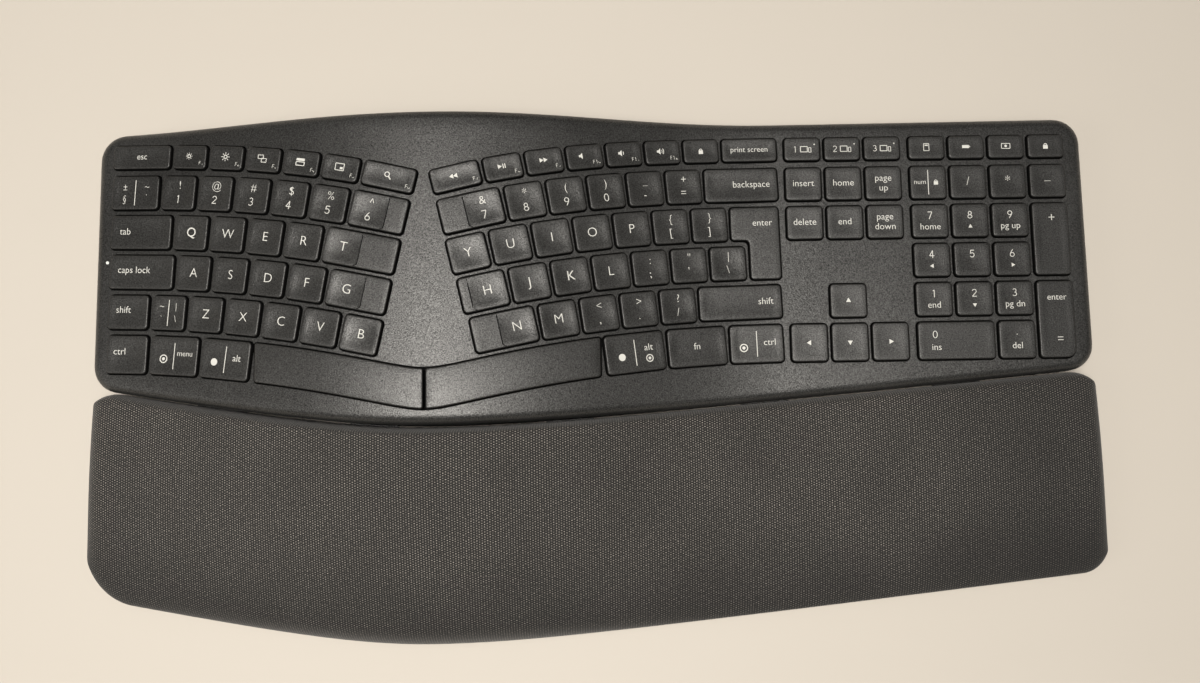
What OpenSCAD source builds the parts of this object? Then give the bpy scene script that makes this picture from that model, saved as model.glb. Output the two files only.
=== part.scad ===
// Split ergonomic keyboard: two bent key halves on one raised hump, a flat navigation block and
// number pad, and a padded palm rest. Lengths are millimetres, +X right, +Y to the back, +Z up.

/* [Key grid] */
// Centre distance of two neighbouring keys along a row
key_pitch = 18.4; // [17.6:0.1:19.4]
// Centre distance of two neighbouring letter rows
row_pitch = 18.05; // [17.6:0.05:19.2]
// Depth of the cell that a half-height function key sits in
function_cell_d = 13.4; // [12:0.1:16]
// Depth of the cell that a key of the space bar row sits in
bottom_cell_d = 19.8; // [18:0.1:22]
// Extra room between the function row and the number row
function_row_gap = 0.6; // [0:0.1:3]
// Width of the web that is left between the openings of two rows
web = 1.8; // [1.6:0.1:2.6]
// Width of the web that is left between two openings of a row
column_web = 1; // [0.8:0.1:2]
// Room between the main block and the navigation block
nav_gap = 1.6; // [0.5:0.1:6]
// Room between the navigation block and the number pad
pad_gap = 2.2; // [0.5:0.1:6]
// Run of the left half from the ridge to its outer end, in key pitches
left_span_u = 7.913; // [7.9:0.001:8.1]
// Run of the right half from the ridge to its outer end, in key pitches
right_span_u = 8.579; // [8.57:0.001:8.8]

/* [Hump and bend] */
// Height of the frame at the flat number pad
flat_z = 18; // [17:0.5:24]
// Rise of the ridge over the flat frame
hump_h = 28.4; // [20:0.2:34]
// Run of the hump to the left of the ridge
hump_left = 175; // [155:1:200]
// Run of the hump to the right of the ridge
hump_right = 156; // [140:1:170]
// How far the rows swing forward at the ridge
bend_d = 21.7; // [16:0.1:24]
// Run over which the left rows bend
bend_left = 163; // [155:1:180]
// Run over which the right rows bend
bend_right = 160; // [155:1:180]

/* [Keys] */
// Gap between a key and its opening, all round
key_gap = 0.4; // [0.35:0.05:0.5]
// Height of a key top over the frame
cap_h = 1.6; // [1:0.1:2.5]
// Depth of a key's skirt below the frame
skirt = 2.4; // [2:0.1:3]
// How much a key top is narrower than its foot, each side
cap_taper = 0.4; // [0.1:0.05:0.6]
// Corner radius of a key
cap_r = 1.8; // [1:0.1:2.5]
// Wall of a key cap
cap_wall = 1.1; // [0.8:0.1:1.5]
// Radius of the hollow in a key top
dish_r = 75; // [50:1:150]
// Depth of the hollow in a key top
dish = 0.35; // [0.2:0.05:0.5]
// Travel of a key
key_travel = 1.8; // [1:0.1:2]
// Diameter of the post under a key
post_d = 5; // [4:0.1:6]
// Clearance of a post in its sleeve
post_clear = 0.4; // [0.35:0.05:0.5]
// Gap between the two space bars at the ridge
bar_gap = 0.9; // [0.8:0.1:2]
// Rounding of the space bars' bend at the ridge
bar_round = 9; // [4:0.5:14]

/* [Case] */
// Wall of the two case halves
wall = 2.2; // [1.8:0.1:3]
// Frame left outside the key rows at the left end
left_margin = 7; // [5:0.5:15]
// Frame left outside the key rows at the right end
right_margin = 8.5; // [5:0.5:15]
// Frame left behind the function row
back_margin = 5.4; // [4:0.2:12]
// Lean of the back edge, as its slope along X
back_lean = 0.006; // [0:0.001:0.01]
// Frame left in front of the space bars at the ridge
front_margin = 2.7; // [2:0.1:8]
// Corner radius of the case in plan
corner_r = 12; // [8:1:16]
// Slope of the front edge to the left of the ridge
front_slope_left = 0.182; // [0.16:0.002:0.19]
// Slope of the front edge to the right of the ridge
front_slope_right = 0.086; // [0.08:0.002:0.09]
// Rounding of the front edge at the ridge
front_round = 60; // [40:5:90]
// Height of the seam between the two case halves
seam_z = 7.5; // [7:0.1:8]
// Height of the rubber feet
foot_h = 1; // [0.6:0.1:2]

/* [Key stack] */
// Depth of the guide plate's top under the frame
guide_depth = 6; // [5.8:0.1:6.4]
// Thickness of the guide plate
guide_t = 1.4; // [1:0.1:1.6]
// Wall of a sleeve that guides a key's post
sleeve_wall = 0.7; // [0.6:0.1:0.8]
// Height of a collapsible dome
dome_h = 2.6; // [2.2:0.1:3]
// Diameter of a dome at its foot
dome_d = 8; // [7.6:0.1:9]
// Wall of a dome at its top
dome_wall = 0.5; // [0.4:0.1:0.8]
// Thickness of the dome sheet
sheet_t = 0.5; // [0.4:0.1:0.8]
// Thickness of the contact membrane
membrane_t = 0.3; // [0.2:0.1:0.5]
// Thickness of the steel support plate
plate_t = 0.8; // [0.6:0.1:1.2]

/* [Palm rest] */
// Depth of the palm rest at the ridge
palm_d = 96; // [80:1:110]
// How far the palm rest stands out past the case at each end
palm_over = 3; // [0:0.5:10]
// Gap between the case and the palm rest
palm_gap = 0.6; // [0.4:0.1:1.5]
// Corner radius of the palm rest's front left corner in plan
palm_left_corner_r = 21; // [12:1:26]
// How much the palm rest widens towards its front at each end
palm_flare = 1.6; // [0:0.2:4]
// Extra slope of the palm rest's front edge to the left of the ridge
palm_extra_left = 0.036; // [0:0.002:0.05]
// Extra slope of the palm rest's front edge to the right of the ridge
palm_extra_right = 0.02; // [0:0.002:0.04]
// Height of the pad at its back edge, away from the hump
palm_back_z = 16.5; // [15:0.5:20]
// Height of the pad at its front edge, away from the hump
palm_front_z = 10.5; // [9.5:0.5:13]
// Share of the hump's rise that the pad keeps at its front edge
palm_front_rise = 0.35; // [0.2:0.05:0.7]
// Crown of the pad between its back and its front
palm_crown = 2.2; // [1:0.1:4]
// How far in from the rim the pad's rounding reaches at the front and at the ends
palm_round = 9; // [6:0.5:14]
// How far in from the rim the pad's rounding reaches along the case
palm_back_round = 4; // [3:0.5:8]
// Thickness of the fabric cover
cover_t = 1.2; // [0.8:0.1:2]
// Thickness of the foam over the carrier's ribs at the front
foam_front_t = 2.2; // [1.5:0.1:3]
// Thickness of the foam over the carrier's ribs at the back
foam_back_t = 9; // [6:0.5:12]
// Thickness of the carrier's floor and ribs
carrier_t = 2; // [1.6:0.1:3]

/* [Tilt legs] */
// Reach of the tall legs from their hinge
tall_leg = 27; // [22:0.5:32]
// Reach of the short legs from their hinge
short_leg = 16; // [12:0.5:20]
// Width of a leg
leg_w = 26; // [20:1:30]
// Thickness of a leg
leg_t = 2.6; // [2:0.1:3]
// Radius of a leg's hinge pin
pin_r = 1; // [0.8:0.1:1.2]
// Running clearance between a leg and its pin
pin_clear = 0.05; // [0.03:0.01:0.1]

/* [Power] */
// Diameter of a battery cell
cell_d = 10.5; // [10:0.1:11]
// Length of a battery cell
cell_l = 44.5; // [44:0.1:46]
// Clearance round the battery door
door_gap = 0.3; // [0.2:0.05:0.5]
// Travel of the power switch
switch_travel = 3; // [2:0.5:4]

/* [Screws] */
// Radius of a screw's shank
screw_r = 1.1; // [0.9:0.05:1.3]
// Radius of a screw's head
head_r = 2.1; // [1.9:0.1:2.4]
// Height of a screw's head
head_h = 1.2; // [1:0.1:1.3]
// Radius of a screw boss
boss_r = 2.8; // [2.4:0.1:3]

/* [Hidden] */
$fn = 48;

case_colour = "#3b3c3e";
key_colour = "#424244";
fabric_colour = "#3a3937";
inner_colour = "#8c9196";

// Widths of the keys of each row in key pitches, from the outer end to the ridge
left_rows = [
    [1.64, 1, 1, 1, 1, 1, 1.35],
    [1.35, 1, 1, 1, 1, 1, 1.43],
    [1.71, 1, 1, 1, 1, 1.86],
    [1.8, 1, 1, 1, 1, 1.56],
    [1.16, 1, 1, 1, 1, 1, 1],
    [1.16, 1.37, 1.39]
];
right_rows = [
    [1.49, 1, 1, 1, 1, 1, 1, 1.25],
    [1.96, 1, 1, 1, 1, 1, 1.57],
    [1.32, 1, 1, 1, 1, 1, 1, 1],
    [0.87, 1, 1, 1, 1, 1, 1, 1.19],
    [2.18, 1, 1, 1, 1, 1.6],
    [1.43, 1.58, 1.59]
];

// Row centres over the home row, and the depth of each row's cells
row_y = [
    2 * row_pitch + row_pitch / 2 + function_row_gap + function_cell_d / 2,
    2 * row_pitch,
    row_pitch,
    0,
    -row_pitch,
    -row_pitch - row_pitch / 2 - bottom_cell_d / 2
];
cell_d_of = [function_cell_d, row_pitch, row_pitch, row_pitch, row_pitch, bottom_cell_d];

// Places along X, measured from the ridge
left_start = left_span_u * key_pitch;
right_start = right_span_u * key_pitch;
nav_x = right_start + nav_gap + key_pitch / 2;
pad_x = nav_x + 3 * key_pitch + pad_gap;
body_left = left_start + left_margin;
body_right = pad_x + 3.5 * key_pitch + right_margin;

// Places along Y, measured from the home row
back_y = row_y[0] + function_cell_d / 2 + back_margin;
ridge_front_y = row_y[5] - bend_d - bottom_cell_d / 2 - front_margin;
palm_front_y = ridge_front_y - palm_gap - palm_d;
palm_left = body_left + palm_over;
palm_right = body_right + palm_over;

// The frame's origin is the middle of the footprint, on the desk
ridge_x = (palm_left - palm_right) / 2;
home_y = -(back_edge(body_right) + palm_front_y) / 2;

// Heights of the layers under the frame, as depths below its surface
sheet_depth = guide_depth + guide_t + dome_h;
membrane_depth = sheet_depth + sheet_t;
plate_depth = membrane_depth + membrane_t;
stack_depth = plate_depth + plate_t;
post_end = guide_depth + guide_t;
sleeve_reach = 0.6;
sleeve_h = guide_depth - skirt - key_travel + sleeve_reach;
dome_clear = 0.25;
cap_roof = 1.3;
floor_z = foot_h + wall;
outline_inset = 3 * wall;
tall_box = 120;
curve_steps = 24;
profile_step = 4;

// Surface of the frame over the desk, its slope, and the swing and heading of the rows
function hump_run(x) = x < 0 ? hump_left : hump_right;
function rise(x) = hump_h / 2 * (1 + cos(180 * min(abs(x) / hump_run(x), 1)));
function frame_z(x) = flat_z + rise(x);
function grade(x) =
    abs(x) >= hump_run(x) ? 0 : -sign(x) * hump_h / 2 * PI / hump_run(x) * sin(180 * abs(x) / hump_run(x));
function slope(x) = atan(grade(x));
function bend_share(x) = x < 0 ? max(0, 1 + x / bend_left) : max(0, 1 - x / bend_right);
function bend(x) = -bend_d * pow(bend_share(x), 2);
function heading(x) = atan((x < 0 ? -2 / bend_left : 2 / bend_right) * bend_d * bend_share(x));

// Centre line of the space bars, rounded off at the ridge
function bar_y(x) = row_y[5] + bend((x < 0 ? -1 : 1) * sqrt(x * x + bar_round * bar_round));

// Walks a run along a row over the bent and humped frame
function walk(x, run) = x + run * cos(heading(x + run / 2)) * cos(slope(x + run / 2));

// Keys of a row from its outer end inwards, each [x, row, cell width, cell depth]
function row_keys(widths, row, x, side, i = 0) =
    i == len(widths) ? [] :
    let (
        half = side * widths[i] * key_pitch / 2,
        centre = walk(x, half)
    )
    concat(
        [[centre, row, widths[i] * key_pitch, cell_d_of[row]]],
        row_keys(widths, row, walk(centre, half), side, i + 1)
    );
function left_row(row) = row_keys(left_rows[row], row, -left_start, 1);
function right_row(row) = row_keys(right_rows[row], row, right_start, -1);
function nav_key(column, row) = [nav_x + column * key_pitch, row, key_pitch, cell_d_of[row]];
function pad_key(column, row) = [pad_x + column * key_pitch, row, key_pitch, cell_d_of[row]];
function pick(list, first, last) = [for (i = [first:last]) list[i]];

// Keys that stand across two rows, as [x, y, width, depth] of the cell
function two_row_y(upper, lower) =
    (row_y[upper] + cell_d_of[upper] / 2 + row_y[lower] - cell_d_of[lower] / 2) / 2;
function two_row_d(upper, lower) =
    row_y[upper] + cell_d_of[upper] / 2 - row_y[lower] + cell_d_of[lower] / 2;

all_left_keys = [for (row = [0:5]) each left_row(row)];
all_right_keys = [for (row = [0, 1, 4, 5]) each right_row(row)];
upper_right_keys = pick(right_row(2), 1, 7);
home_right_keys = pick(right_row(3), 1, 7);
device_cells = [for (column = [0:2]) nav_key(column, 0)];
editing_cells = [for (row = [1, 2], column = [0:2]) nav_key(column, row)];
arrow_cells = [nav_key(1, 4), nav_key(0, 5), nav_key(1, 5), nav_key(2, 5)];
pad_function_cells = [for (column = [0:3]) pad_key(column, 0)];
pad_operator_cells = [for (column = [0:3]) pad_key(column, 1)];
pad_digit_cells = [for (row = [2:4], column = [0:2]) pad_key(column, row)];
pad_point_cell = pad_key(2, 5);
pad_zero_cell = [pad_x + key_pitch / 2, 5, 2 * key_pitch, bottom_cell_d];
plain_cells = concat(
    all_left_keys, all_right_keys, upper_right_keys, home_right_keys, device_cells, editing_cells,
    arrow_cells, pad_function_cells, pad_operator_cells, pad_digit_cells, [pad_point_cell, pad_zero_cell]
);
pad_tall_x = pad_x + 3 * key_pitch;
pad_tall_cells = [for (rows = [[2, 3], [4, 5]])
    [pad_tall_x, two_row_y(rows[0], rows[1]), key_pitch, two_row_d(rows[0], rows[1])]];

// The two arms of the stepped enter key, as [x, y, width, depth] of the cell
enter_upper = right_row(2)[0];
enter_lower = right_row(3)[0];
enter_heading = heading(enter_lower[0]);
enter_tall_w = enter_lower[2];
enter_wide_w = enter_upper[2];
enter_x = right_start - enter_tall_w / 2;
enter_y = two_row_y(2, 3) + bend(enter_lower[0]);
enter_d = two_row_d(2, 3);

// Space bars run from the last key of the bottom row to the ridge
left_bar_end = walk(left_row(5)[2][0], left_row(5)[2][2] / 2);
right_bar_end = walk(right_row(5)[2][0], -right_row(5)[2][2] / 2);
bar_from = left_bar_end + column_web / 2;
bar_to = right_bar_end - column_web / 2;
bar_posts_left = [for (share = [0.2, 0.5, 0.8]) left_bar_end * share];
bar_posts_right = [for (share = [0.2, 0.5, 0.8]) right_bar_end * share];

// Screws that clamp the case, where no key stands, as [x, y]
back_screw_x = 80;
boss_edge = 1;
boss_drop = 1;
boss_clear = 0.4;
thread_clear = 0.05;
head_clear = 0.2;
screw_spots = [
    [0, row_y[0]],
    [0, -row_pitch / 2],
    [0, -row_pitch * 1.75],
    [-back_screw_x, back_edge(-back_screw_x) - wall - boss_r - boss_edge],
    [back_screw_x, back_edge(back_screw_x) - wall - boss_r - boss_edge],
    [nav_x, 0],
    [nav_x + 2 * key_pitch, 0]
];
boss_meet = seam_z - boss_drop;

// Draws its children in the frame whose origin is the ridge at the home row
module on_frame() {
    translate([ridge_x, home_y, 0]) children();
}

// Stands its children on the frame at a key, square to the surface and to its row
module at_key(key) {
    translate([key[0], row_y[key[1]] + bend(key[0]), frame_z(key[0])])
        rotate([0, -slope(key[0]), 0])
            rotate([0, 0, heading(key[0])])
                children();
}

// A flat rectangle with round corners
module rounded(w, d, r) {
    polygon([for (corner = [0:3], turn = [0:18:90])
        let (a = corner * 90 + turn, sx = corner == 0 || corner == 3 ? 1 : -1, sy = corner < 2 ? 1 : -1)
        [sx * (w / 2 - r) + r * cos(a), sy * (d / 2 - r) + r * sin(a)]]);
}

// Side view of a tapered cap: full width at the skirt, narrower at the top
module taper(w) {
    polygon([
        [-w / 2, -skirt], [w / 2, -skirt], [w / 2, 0],
        [w / 2 - cap_taper, cap_h], [-w / 2 + cap_taper, cap_h], [-w / 2, 0]
    ]);
}

// Where posts stand under a key of this size
function post_spots(w, d) =
    let (reach_x = w / 2 - post_d - cap_wall, reach_y = d / 2 - post_d - cap_wall)
    w > 1.9 * key_pitch ? [[-reach_x, 0], [0, 0], [reach_x, 0]] :
    d > 1.6 * row_pitch ? [[0, -reach_y], [0, 0], [0, reach_y]] : [[0, 0]];

// Size of a cell's opening, and foot size of the key in it
function hole_w(cell_w) = cell_w - column_web;
function hole_d(cell_d) = cell_d - web;
function key_w(cell_w) = hole_w(cell_w) - 2 * key_gap;
function key_d(cell_d) = hole_d(cell_d) - 2 * key_gap;

module post() {
    translate([0, 0, -post_end]) cylinder(d = post_d, h = post_end + cap_h - cap_roof);
}

// One key cap: tapered shell with a hollow top, on its posts
module keycap(cell_w, cell_d) {
    w = key_w(cell_w);
    d = key_d(cell_d);
    difference() {
        intersection() {
            translate([0, 0, -skirt]) linear_extrude(skirt + cap_h) rounded(w, d, cap_r);
            rotate([90, 0, 0]) linear_extrude(d + 1, center = true) taper(w);
            rotate([90, 0, 90]) linear_extrude(w + 1, center = true) taper(d);
        }
        if (w > 1.3 * d || d > 1.3 * w)
            translate([0, 0, cap_h - dish + dish_r])
                rotate(w > d ? [0, 90, 0] : [90, 0, 0])
                    cylinder(r = dish_r, h = 2 * (w + d), center = true, $fn = 200);
        else
            translate([0, 0, cap_h - dish + dish_r]) sphere(r = dish_r, $fn = 200);
        translate([0, 0, -skirt - 1])
            linear_extrude(skirt + 1 + cap_h - cap_roof)
                rounded(w - 2 * cap_wall, d - 2 * cap_wall, cap_r - cap_wall / 2);
    }
    for (spot = post_spots(w, d)) translate([spot[0], spot[1], 0]) post();
}

// A bank of keys that share their drive
module key_bank(keys) {
    color(key_colour) on_frame() for (key = keys) at_key(key) keycap(key[2], key[3]);
}

// Stands its children at a cell that is placed by its own centre on the flat frame
module at_cell(cell) {
    translate([cell[0], cell[1], flat_z]) children();
}

// Plan of the stepped enter key, grown or shrunk by an edge
module enter_plan(edge, r) {
    tall_w = hole_w(enter_tall_w) + 2 * edge;
    wide_w = hole_w(enter_wide_w) + 2 * edge;
    arm_d = hole_d(row_pitch) + 2 * edge;
    tall_d = hole_d(enter_d) + 2 * edge;
    rounded(tall_w, tall_d, r);
    translate([(tall_w - wide_w) / 2, (tall_d - arm_d) / 2]) rounded(wide_w, arm_d, r);
}

module at_enter() {
    translate([enter_x, enter_y, frame_z(enter_x)])
        rotate([0, -slope(enter_x), 0])
            rotate([0, 0, enter_heading])
                children();
}
enter_posts = [[0, row_pitch / 2], [0, 0], [0, -row_pitch / 2]];

// Plan of a space bar between two x places, with its edges moved out
module bar_plan(from_x, to_x, edge) {
    x0 = from_x - edge;
    x1 = to_x + edge;
    half = hole_d(bottom_cell_d) / 2 + edge;
    steps = [for (i = [0:curve_steps]) x0 + (x1 - x0) * i / curve_steps];
    polygon(concat(
        [for (x = steps) [x, bar_y(x) - half]],
        [for (i = [curve_steps:-1:0]) [steps[i], bar_y(steps[i]) + half]]
    ));
}

// The band between two heights over the curved frame, as a long prism along Y
function profile_x() = [for (x = [-hump_left - profile_step:profile_step:body_right + 2 * profile_step]) x];
module profile_band(low, high) {
    xs = profile_x();
    rotate([90, 0, 0])
        linear_extrude(4 * tall_box, center = true)
            polygon(concat(
                [for (x = xs) [x, frame_z(x) + high]],
                [for (i = [len(xs) - 1:-1:0]) [xs[i], frame_z(xs[i]) + low]]
            ));
}

// Everything under a height that follows the curved frame
module under_profile(high) {
    xs = profile_x();
    rotate([90, 0, 0])
        linear_extrude(4 * tall_box, center = true)
            polygon(concat(
                [for (x = xs) [x, frame_z(x) + high]],
                [[xs[len(xs) - 1], 0], [xs[0], 0]]
            ));
}

// Back edge of the case in plan, and its front edge: two straight runs with a round at the ridge
function back_edge(x) = back_y + back_lean * x;
function edge_run(x) = sqrt(x * x + front_round * front_round) - front_round;
function front_edge(x) = ridge_front_y + (x < 0 ? front_slope_left : front_slope_right) * edge_run(x);
function palm_slope(x) = x < 0 ? front_slope_left + palm_extra_left : front_slope_right + palm_extra_right;
function palm_front(x) = palm_front_y + palm_slope(x) * edge_run(x);

// Corner of a plan outline: an arc from one direction to another about a centre
function arc(centre, r, from, to) =
    [for (i = [0:6]) centre + r * [cos(from + (to - from) * i / 6), sin(from + (to - from) * i / 6)]];

// Plan of the case, drawn in by an inset
function body_points(inset) =
    let (
        r = max(corner_r - inset, 2),
        x0 = -body_left + inset,
        x1 = body_right - inset,
        back_left = back_edge(x0) - inset,
        back_right = back_edge(x1) - inset,
        lean_left = atan(front_slope_left),
        lean_right = atan(front_slope_right),
        xa = x0 + r - r * sin(lean_left),
        xb = x1 - r + r * sin(lean_right),
        ya = front_edge(xa) + inset + r * cos(lean_left),
        yb = front_edge(xb) + inset + r * cos(lean_right)
    )
    concat(
        arc([x0 + r, ya], r, 180, 270 - lean_left),
        [for (i = [1:curve_steps - 1])
            let (x = xa + (xb - xa) * i / curve_steps) [x, front_edge(x) + inset]],
        arc([x1 - r, yb], r, 270 + lean_right, 360),
        arc([x1 - r, back_right - r], r, 0, 90),
        arc([x0 + r, back_left - r], r, 90, 180)
    );
module body_plan(inset) {
    polygon(body_points(inset));
}

// A sheet that follows the frame at a depth under it
module curved_sheet(depth, t) {
    difference() {
        intersection() {
            profile_band(-depth - t, -depth);
            linear_extrude(tall_box) body_plan(outline_inset);
        }
        for (spot = screw_spots)
            translate([spot[0], spot[1], -1]) cylinder(r = boss_r + boss_clear, h = tall_box);
    }
}

// Runs its children once at every post, standing along the post
module at_posts() {
    for (key = plain_cells) at_key(key)
        for (spot = post_spots(key_w(key[2]), key_d(key[3]))) translate([spot[0], spot[1], 0]) children();
    for (cell = pad_tall_cells) at_cell(cell)
        for (spot = post_spots(key_w(cell[2]), key_d(cell[3]))) translate([spot[0], spot[1], 0]) children();
    at_enter() for (spot = enter_posts) translate([spot[0], spot[1], 0]) children();
    for (x = concat(bar_posts_left, bar_posts_right))
        translate([x, bar_y(x), frame_z(x)]) children();
}

// Runs its children once at the dome under each key, level with the curved sheets
module at_domes() {
    for (key = plain_cells) at_key(key) scale_depth(cos(slope(key[0]))) children();
    for (cell = pad_tall_cells) at_cell(cell) children();
    at_enter() children();
}
module at_bar_domes() {
    for (x = [bar_posts_left[1], bar_posts_right[1]])
        translate([x, bar_y(x), frame_z(x)]) children();
}
module scale_depth(share) {
    translate([0, 0, sheet_depth * (1 - share)]) children();
}

module top_case() {
    color(case_colour) on_frame() difference() {
        union() {
            difference() {
                intersection() {
                    under_profile(0);
                    translate([0, 0, seam_z]) linear_extrude(tall_box) body_plan(0);
                }
                intersection() {
                    under_profile(-wall);
                    translate([0, 0, seam_z - 1]) linear_extrude(tall_box) body_plan(wall);
                }
            }
            for (spot = screw_spots) intersection() {
                translate([spot[0], spot[1], boss_meet]) cylinder(r = boss_r, h = tall_box);
                under_profile(-wall / 2);
            }
        }
        for (key = plain_cells) at_key(key) key_hole(hole_w(key[2]), hole_d(key[3]));
        for (cell = pad_tall_cells) at_cell(cell) key_hole(hole_w(cell[2]), hole_d(cell[3]));
        at_enter() translate([0, 0, -3 * wall]) linear_extrude(5 * wall) enter_plan(0, cap_r + key_gap);
        translate([0, 0, seam_z + wall])
            linear_extrude(tall_box) bar_plan(bar_from, bar_to, 0);
        for (spot = screw_spots)
            translate([spot[0], spot[1], boss_meet - 1])
                cylinder(r = screw_r + thread_clear, h = screw_l - wall + 1);
        translate([light_x, light_y, seam_z]) cylinder(r = light_r + light_clear, h = tall_box);
    }
}
module key_hole(w, d) {
    translate([0, 0, -3 * wall]) linear_extrude(5 * wall) rounded(w, d, cap_r + key_gap);
}

// Light pipe beside the caps lock key
light_r = 0.7;
light_clear = 0.05;
light_proud = 0.1;
light_gap = 0.3;
light_x = -left_start + column_web / 2 - 2 * light_r;
light_y = bend(-left_start) + row_pitch / 4;
module caps_lock_light() {
    light_top = frame_z(light_x) + light_proud;
    color("white") on_frame() {
        translate([light_x, light_y, light_top - 2 * wall]) cylinder(r = light_r, h = 2 * wall);
        translate([light_x, light_y, light_top - 2 * wall]) cylinder(r = 2 * light_r, h = wall - light_gap);
    }
}

// Battery bay under the ridge: two cells side by side along X
bay_wall = 1.6;
bay_play = 0.3;
contact_t = 0.4;
contact_h = 8;
terminal_l = 1;
spring_l = 3;
bay_l = cell_l + 2 * (contact_t + bay_play) + spring_l;
bay_w = 2 * cell_d + 3 * bay_play;
bay_y = row_pitch * 0.8;
cell_z = floor_z + bay_play + cell_d / 2;
bay_top = cell_z + cell_d / 2 + bay_play;
door_lip = 1.5;
door_play = 0.05;
door_l = bay_l + 2 * door_lip;
door_w = bay_w + 2 * door_lip;
door_t = wall * 0.55;

// Tongues of the palm rest's carrier reach under the case, as their x places
tongue_x = [-100, -30, 60, 150, 240];
tongue_w = 22;
tongue_l = 14;
tongue_gap = 0.3;
tongue_roof = 0.6;
screw_end_gap = 0.3;

// Controller board on four stand-offs to the right of the battery bay
board_x = 42;
board_l = 52;
board_w = 30;
board_t = 1.2;
board_y = -4;
board_z = floor_z + 4;
standoff_r = 2.2;
chip_size = [8, 8, 1];
plug_size = [5, 4, 1.5];
board_pins = [for (sx = [0.08, 0.92], sy = [0.12, 0.88]) [board_x + sx * board_l, board_y + sy * board_w]];

// Power switch in a slot of the floor, to the left of the battery bay
switch_l = 6;
switch_w = 4;
switch_x = -60;
switch_y = bay_y;
slot_gap = 0.3;
switch_sunk = 0.2;
flange = 1;
flange_t = 1.2;
flange_gap = 0.1;
slot_l = switch_l + switch_travel + 2 * slot_gap;

// Ribs that carry the support plate, where neither bay, board nor legs stand
rib_x = [-135, -105, -75, -40, 32, 110, 135, 160, 185, 220, 250, 280];

module bottom_case() {
    color(case_colour) on_frame() difference() {
        union() {
            difference() {
                translate([0, 0, foot_h]) linear_extrude(seam_z - foot_h) body_plan(0);
                translate([0, 0, floor_z]) linear_extrude(seam_z) body_plan(wall);
            }
            intersection() {
                for (x = rib_x)
                    translate([x - wall / 2, -tall_box, floor_z - wall / 2])
                        cube([wall, 2 * tall_box, tall_box]);
                under_profile(-stack_depth);
                linear_extrude(tall_box) body_plan(outline_inset);
            }
            for (spot = screw_spots)
                translate([spot[0], spot[1], foot_h]) cylinder(r = boss_r, h = boss_meet - foot_h);
            translate([-bay_l / 2 - bay_wall, bay_y - bay_w / 2 - bay_wall, floor_z - wall / 2])
                cube([bay_l + 2 * bay_wall, bay_w + 2 * bay_wall, bay_top + bay_wall - floor_z + wall / 2]);
            for (pin = board_pins)
                translate([pin[0], pin[1], floor_z - wall / 4])
                    cylinder(r = standoff_r, h = board_z - floor_z + wall / 4);
            for (x = tongue_x) tongue_block(x);
        }
        translate([-bay_l / 2, bay_y - bay_w / 2, foot_h - 1])
            cube([bay_l, bay_w, bay_top - foot_h + 1]);
        translate([-door_l / 2, bay_y - door_w / 2, foot_h - 1]) cube([door_l, door_w, door_t + 1]);
        for (spot = screw_spots) {
            translate([spot[0], spot[1], foot_h - 1])
                cylinder(r = screw_r + thread_clear, h = tall_box);
            translate([spot[0], spot[1], foot_h - 1]) cylinder(r = head_r + head_clear, h = head_h + 1);
        }
        translate([switch_x - slot_gap, switch_y - switch_w / 2 - slot_gap, foot_h - 1])
            cube([slot_l, switch_w + 2 * slot_gap, wall + 2]);
        for (x = tongue_x) {
            tongue(x, tongue_gap, tongue_gap);
            translate([x, tongue_screw_y(x), foot_h])
                cylinder(r = screw_r + thread_clear, h = tongue_screw_l);
        }
    }
}

// Tongue of the palm rest's carrier, in the plane of the floor, and the block over it
tongue_top = min(seam_z, flat_z - stack_depth - tongue_gap);
tongue_screw_l = tongue_top - foot_h - tongue_roof;
function tongue_y(x) = front_edge(x) - palm_gap;
function tongue_screw_y(x) = tongue_y(x) + palm_gap + tongue_l / 2;
module tongue(x, grow, over) {
    translate([x - tongue_w / 2 - grow, tongue_y(x) - 2 * wall, foot_h - over])
        cube([tongue_w + 2 * grow, 2 * wall + palm_gap + tongue_l + grow, wall + over]);
}
module tongue_block(x) {
    intersection() {
        translate([x - tongue_w / 2 - wall, tongue_y(x) + palm_gap, floor_z - wall / 2])
            cube([tongue_w + 2 * wall, tongue_l + wall, tongue_top - floor_z + wall / 2]);
        linear_extrude(tall_box) body_plan(wall / 2);
    }
}

module guide_plate() {
    color("dimgray") on_frame() difference() {
        union() {
            curved_sheet(guide_depth, guide_t);
            at_posts() translate([0, 0, -guide_depth - guide_t / 2])
                cylinder(d = post_d + 2 * (post_clear + sleeve_wall), h = sleeve_h + guide_t / 2);
        }
        at_posts() translate([0, 0, -sheet_depth])
            cylinder(d = post_d + 2 * post_clear, h = sheet_depth);
    }
}

// One dome over the sheet, as the collar that its post goes into, with a root in the sheet
module dome(root) {
    translate([0, 0, -root]) difference() {
        cylinder(d1 = dome_d, d2 = post_d + 2 * (post_clear + dome_wall), h = root + dome_h - dome_clear);
        translate([0, 0, -root]) cylinder(d = post_d + 2 * post_clear, h = 2 * root + dome_h);
    }
}

module dome_sheet() {
    color("gainsboro") on_frame() {
        curved_sheet(sheet_depth, sheet_t);
        at_domes() translate([0, 0, -sheet_depth]) dome(sheet_t / 2);
        intersection() {
            at_bar_domes() translate([0, 0, -sheet_depth]) dome(dome_h);
            profile_band(-sheet_depth - sheet_t / 2, dome_h - sheet_depth - dome_clear);
        }
    }
}

module contact_membrane() {
    color("khaki") on_frame() curved_sheet(membrane_depth, membrane_t);
}

module support_plate() {
    color("silver") on_frame() curved_sheet(plate_depth, plate_t);
}

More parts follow.
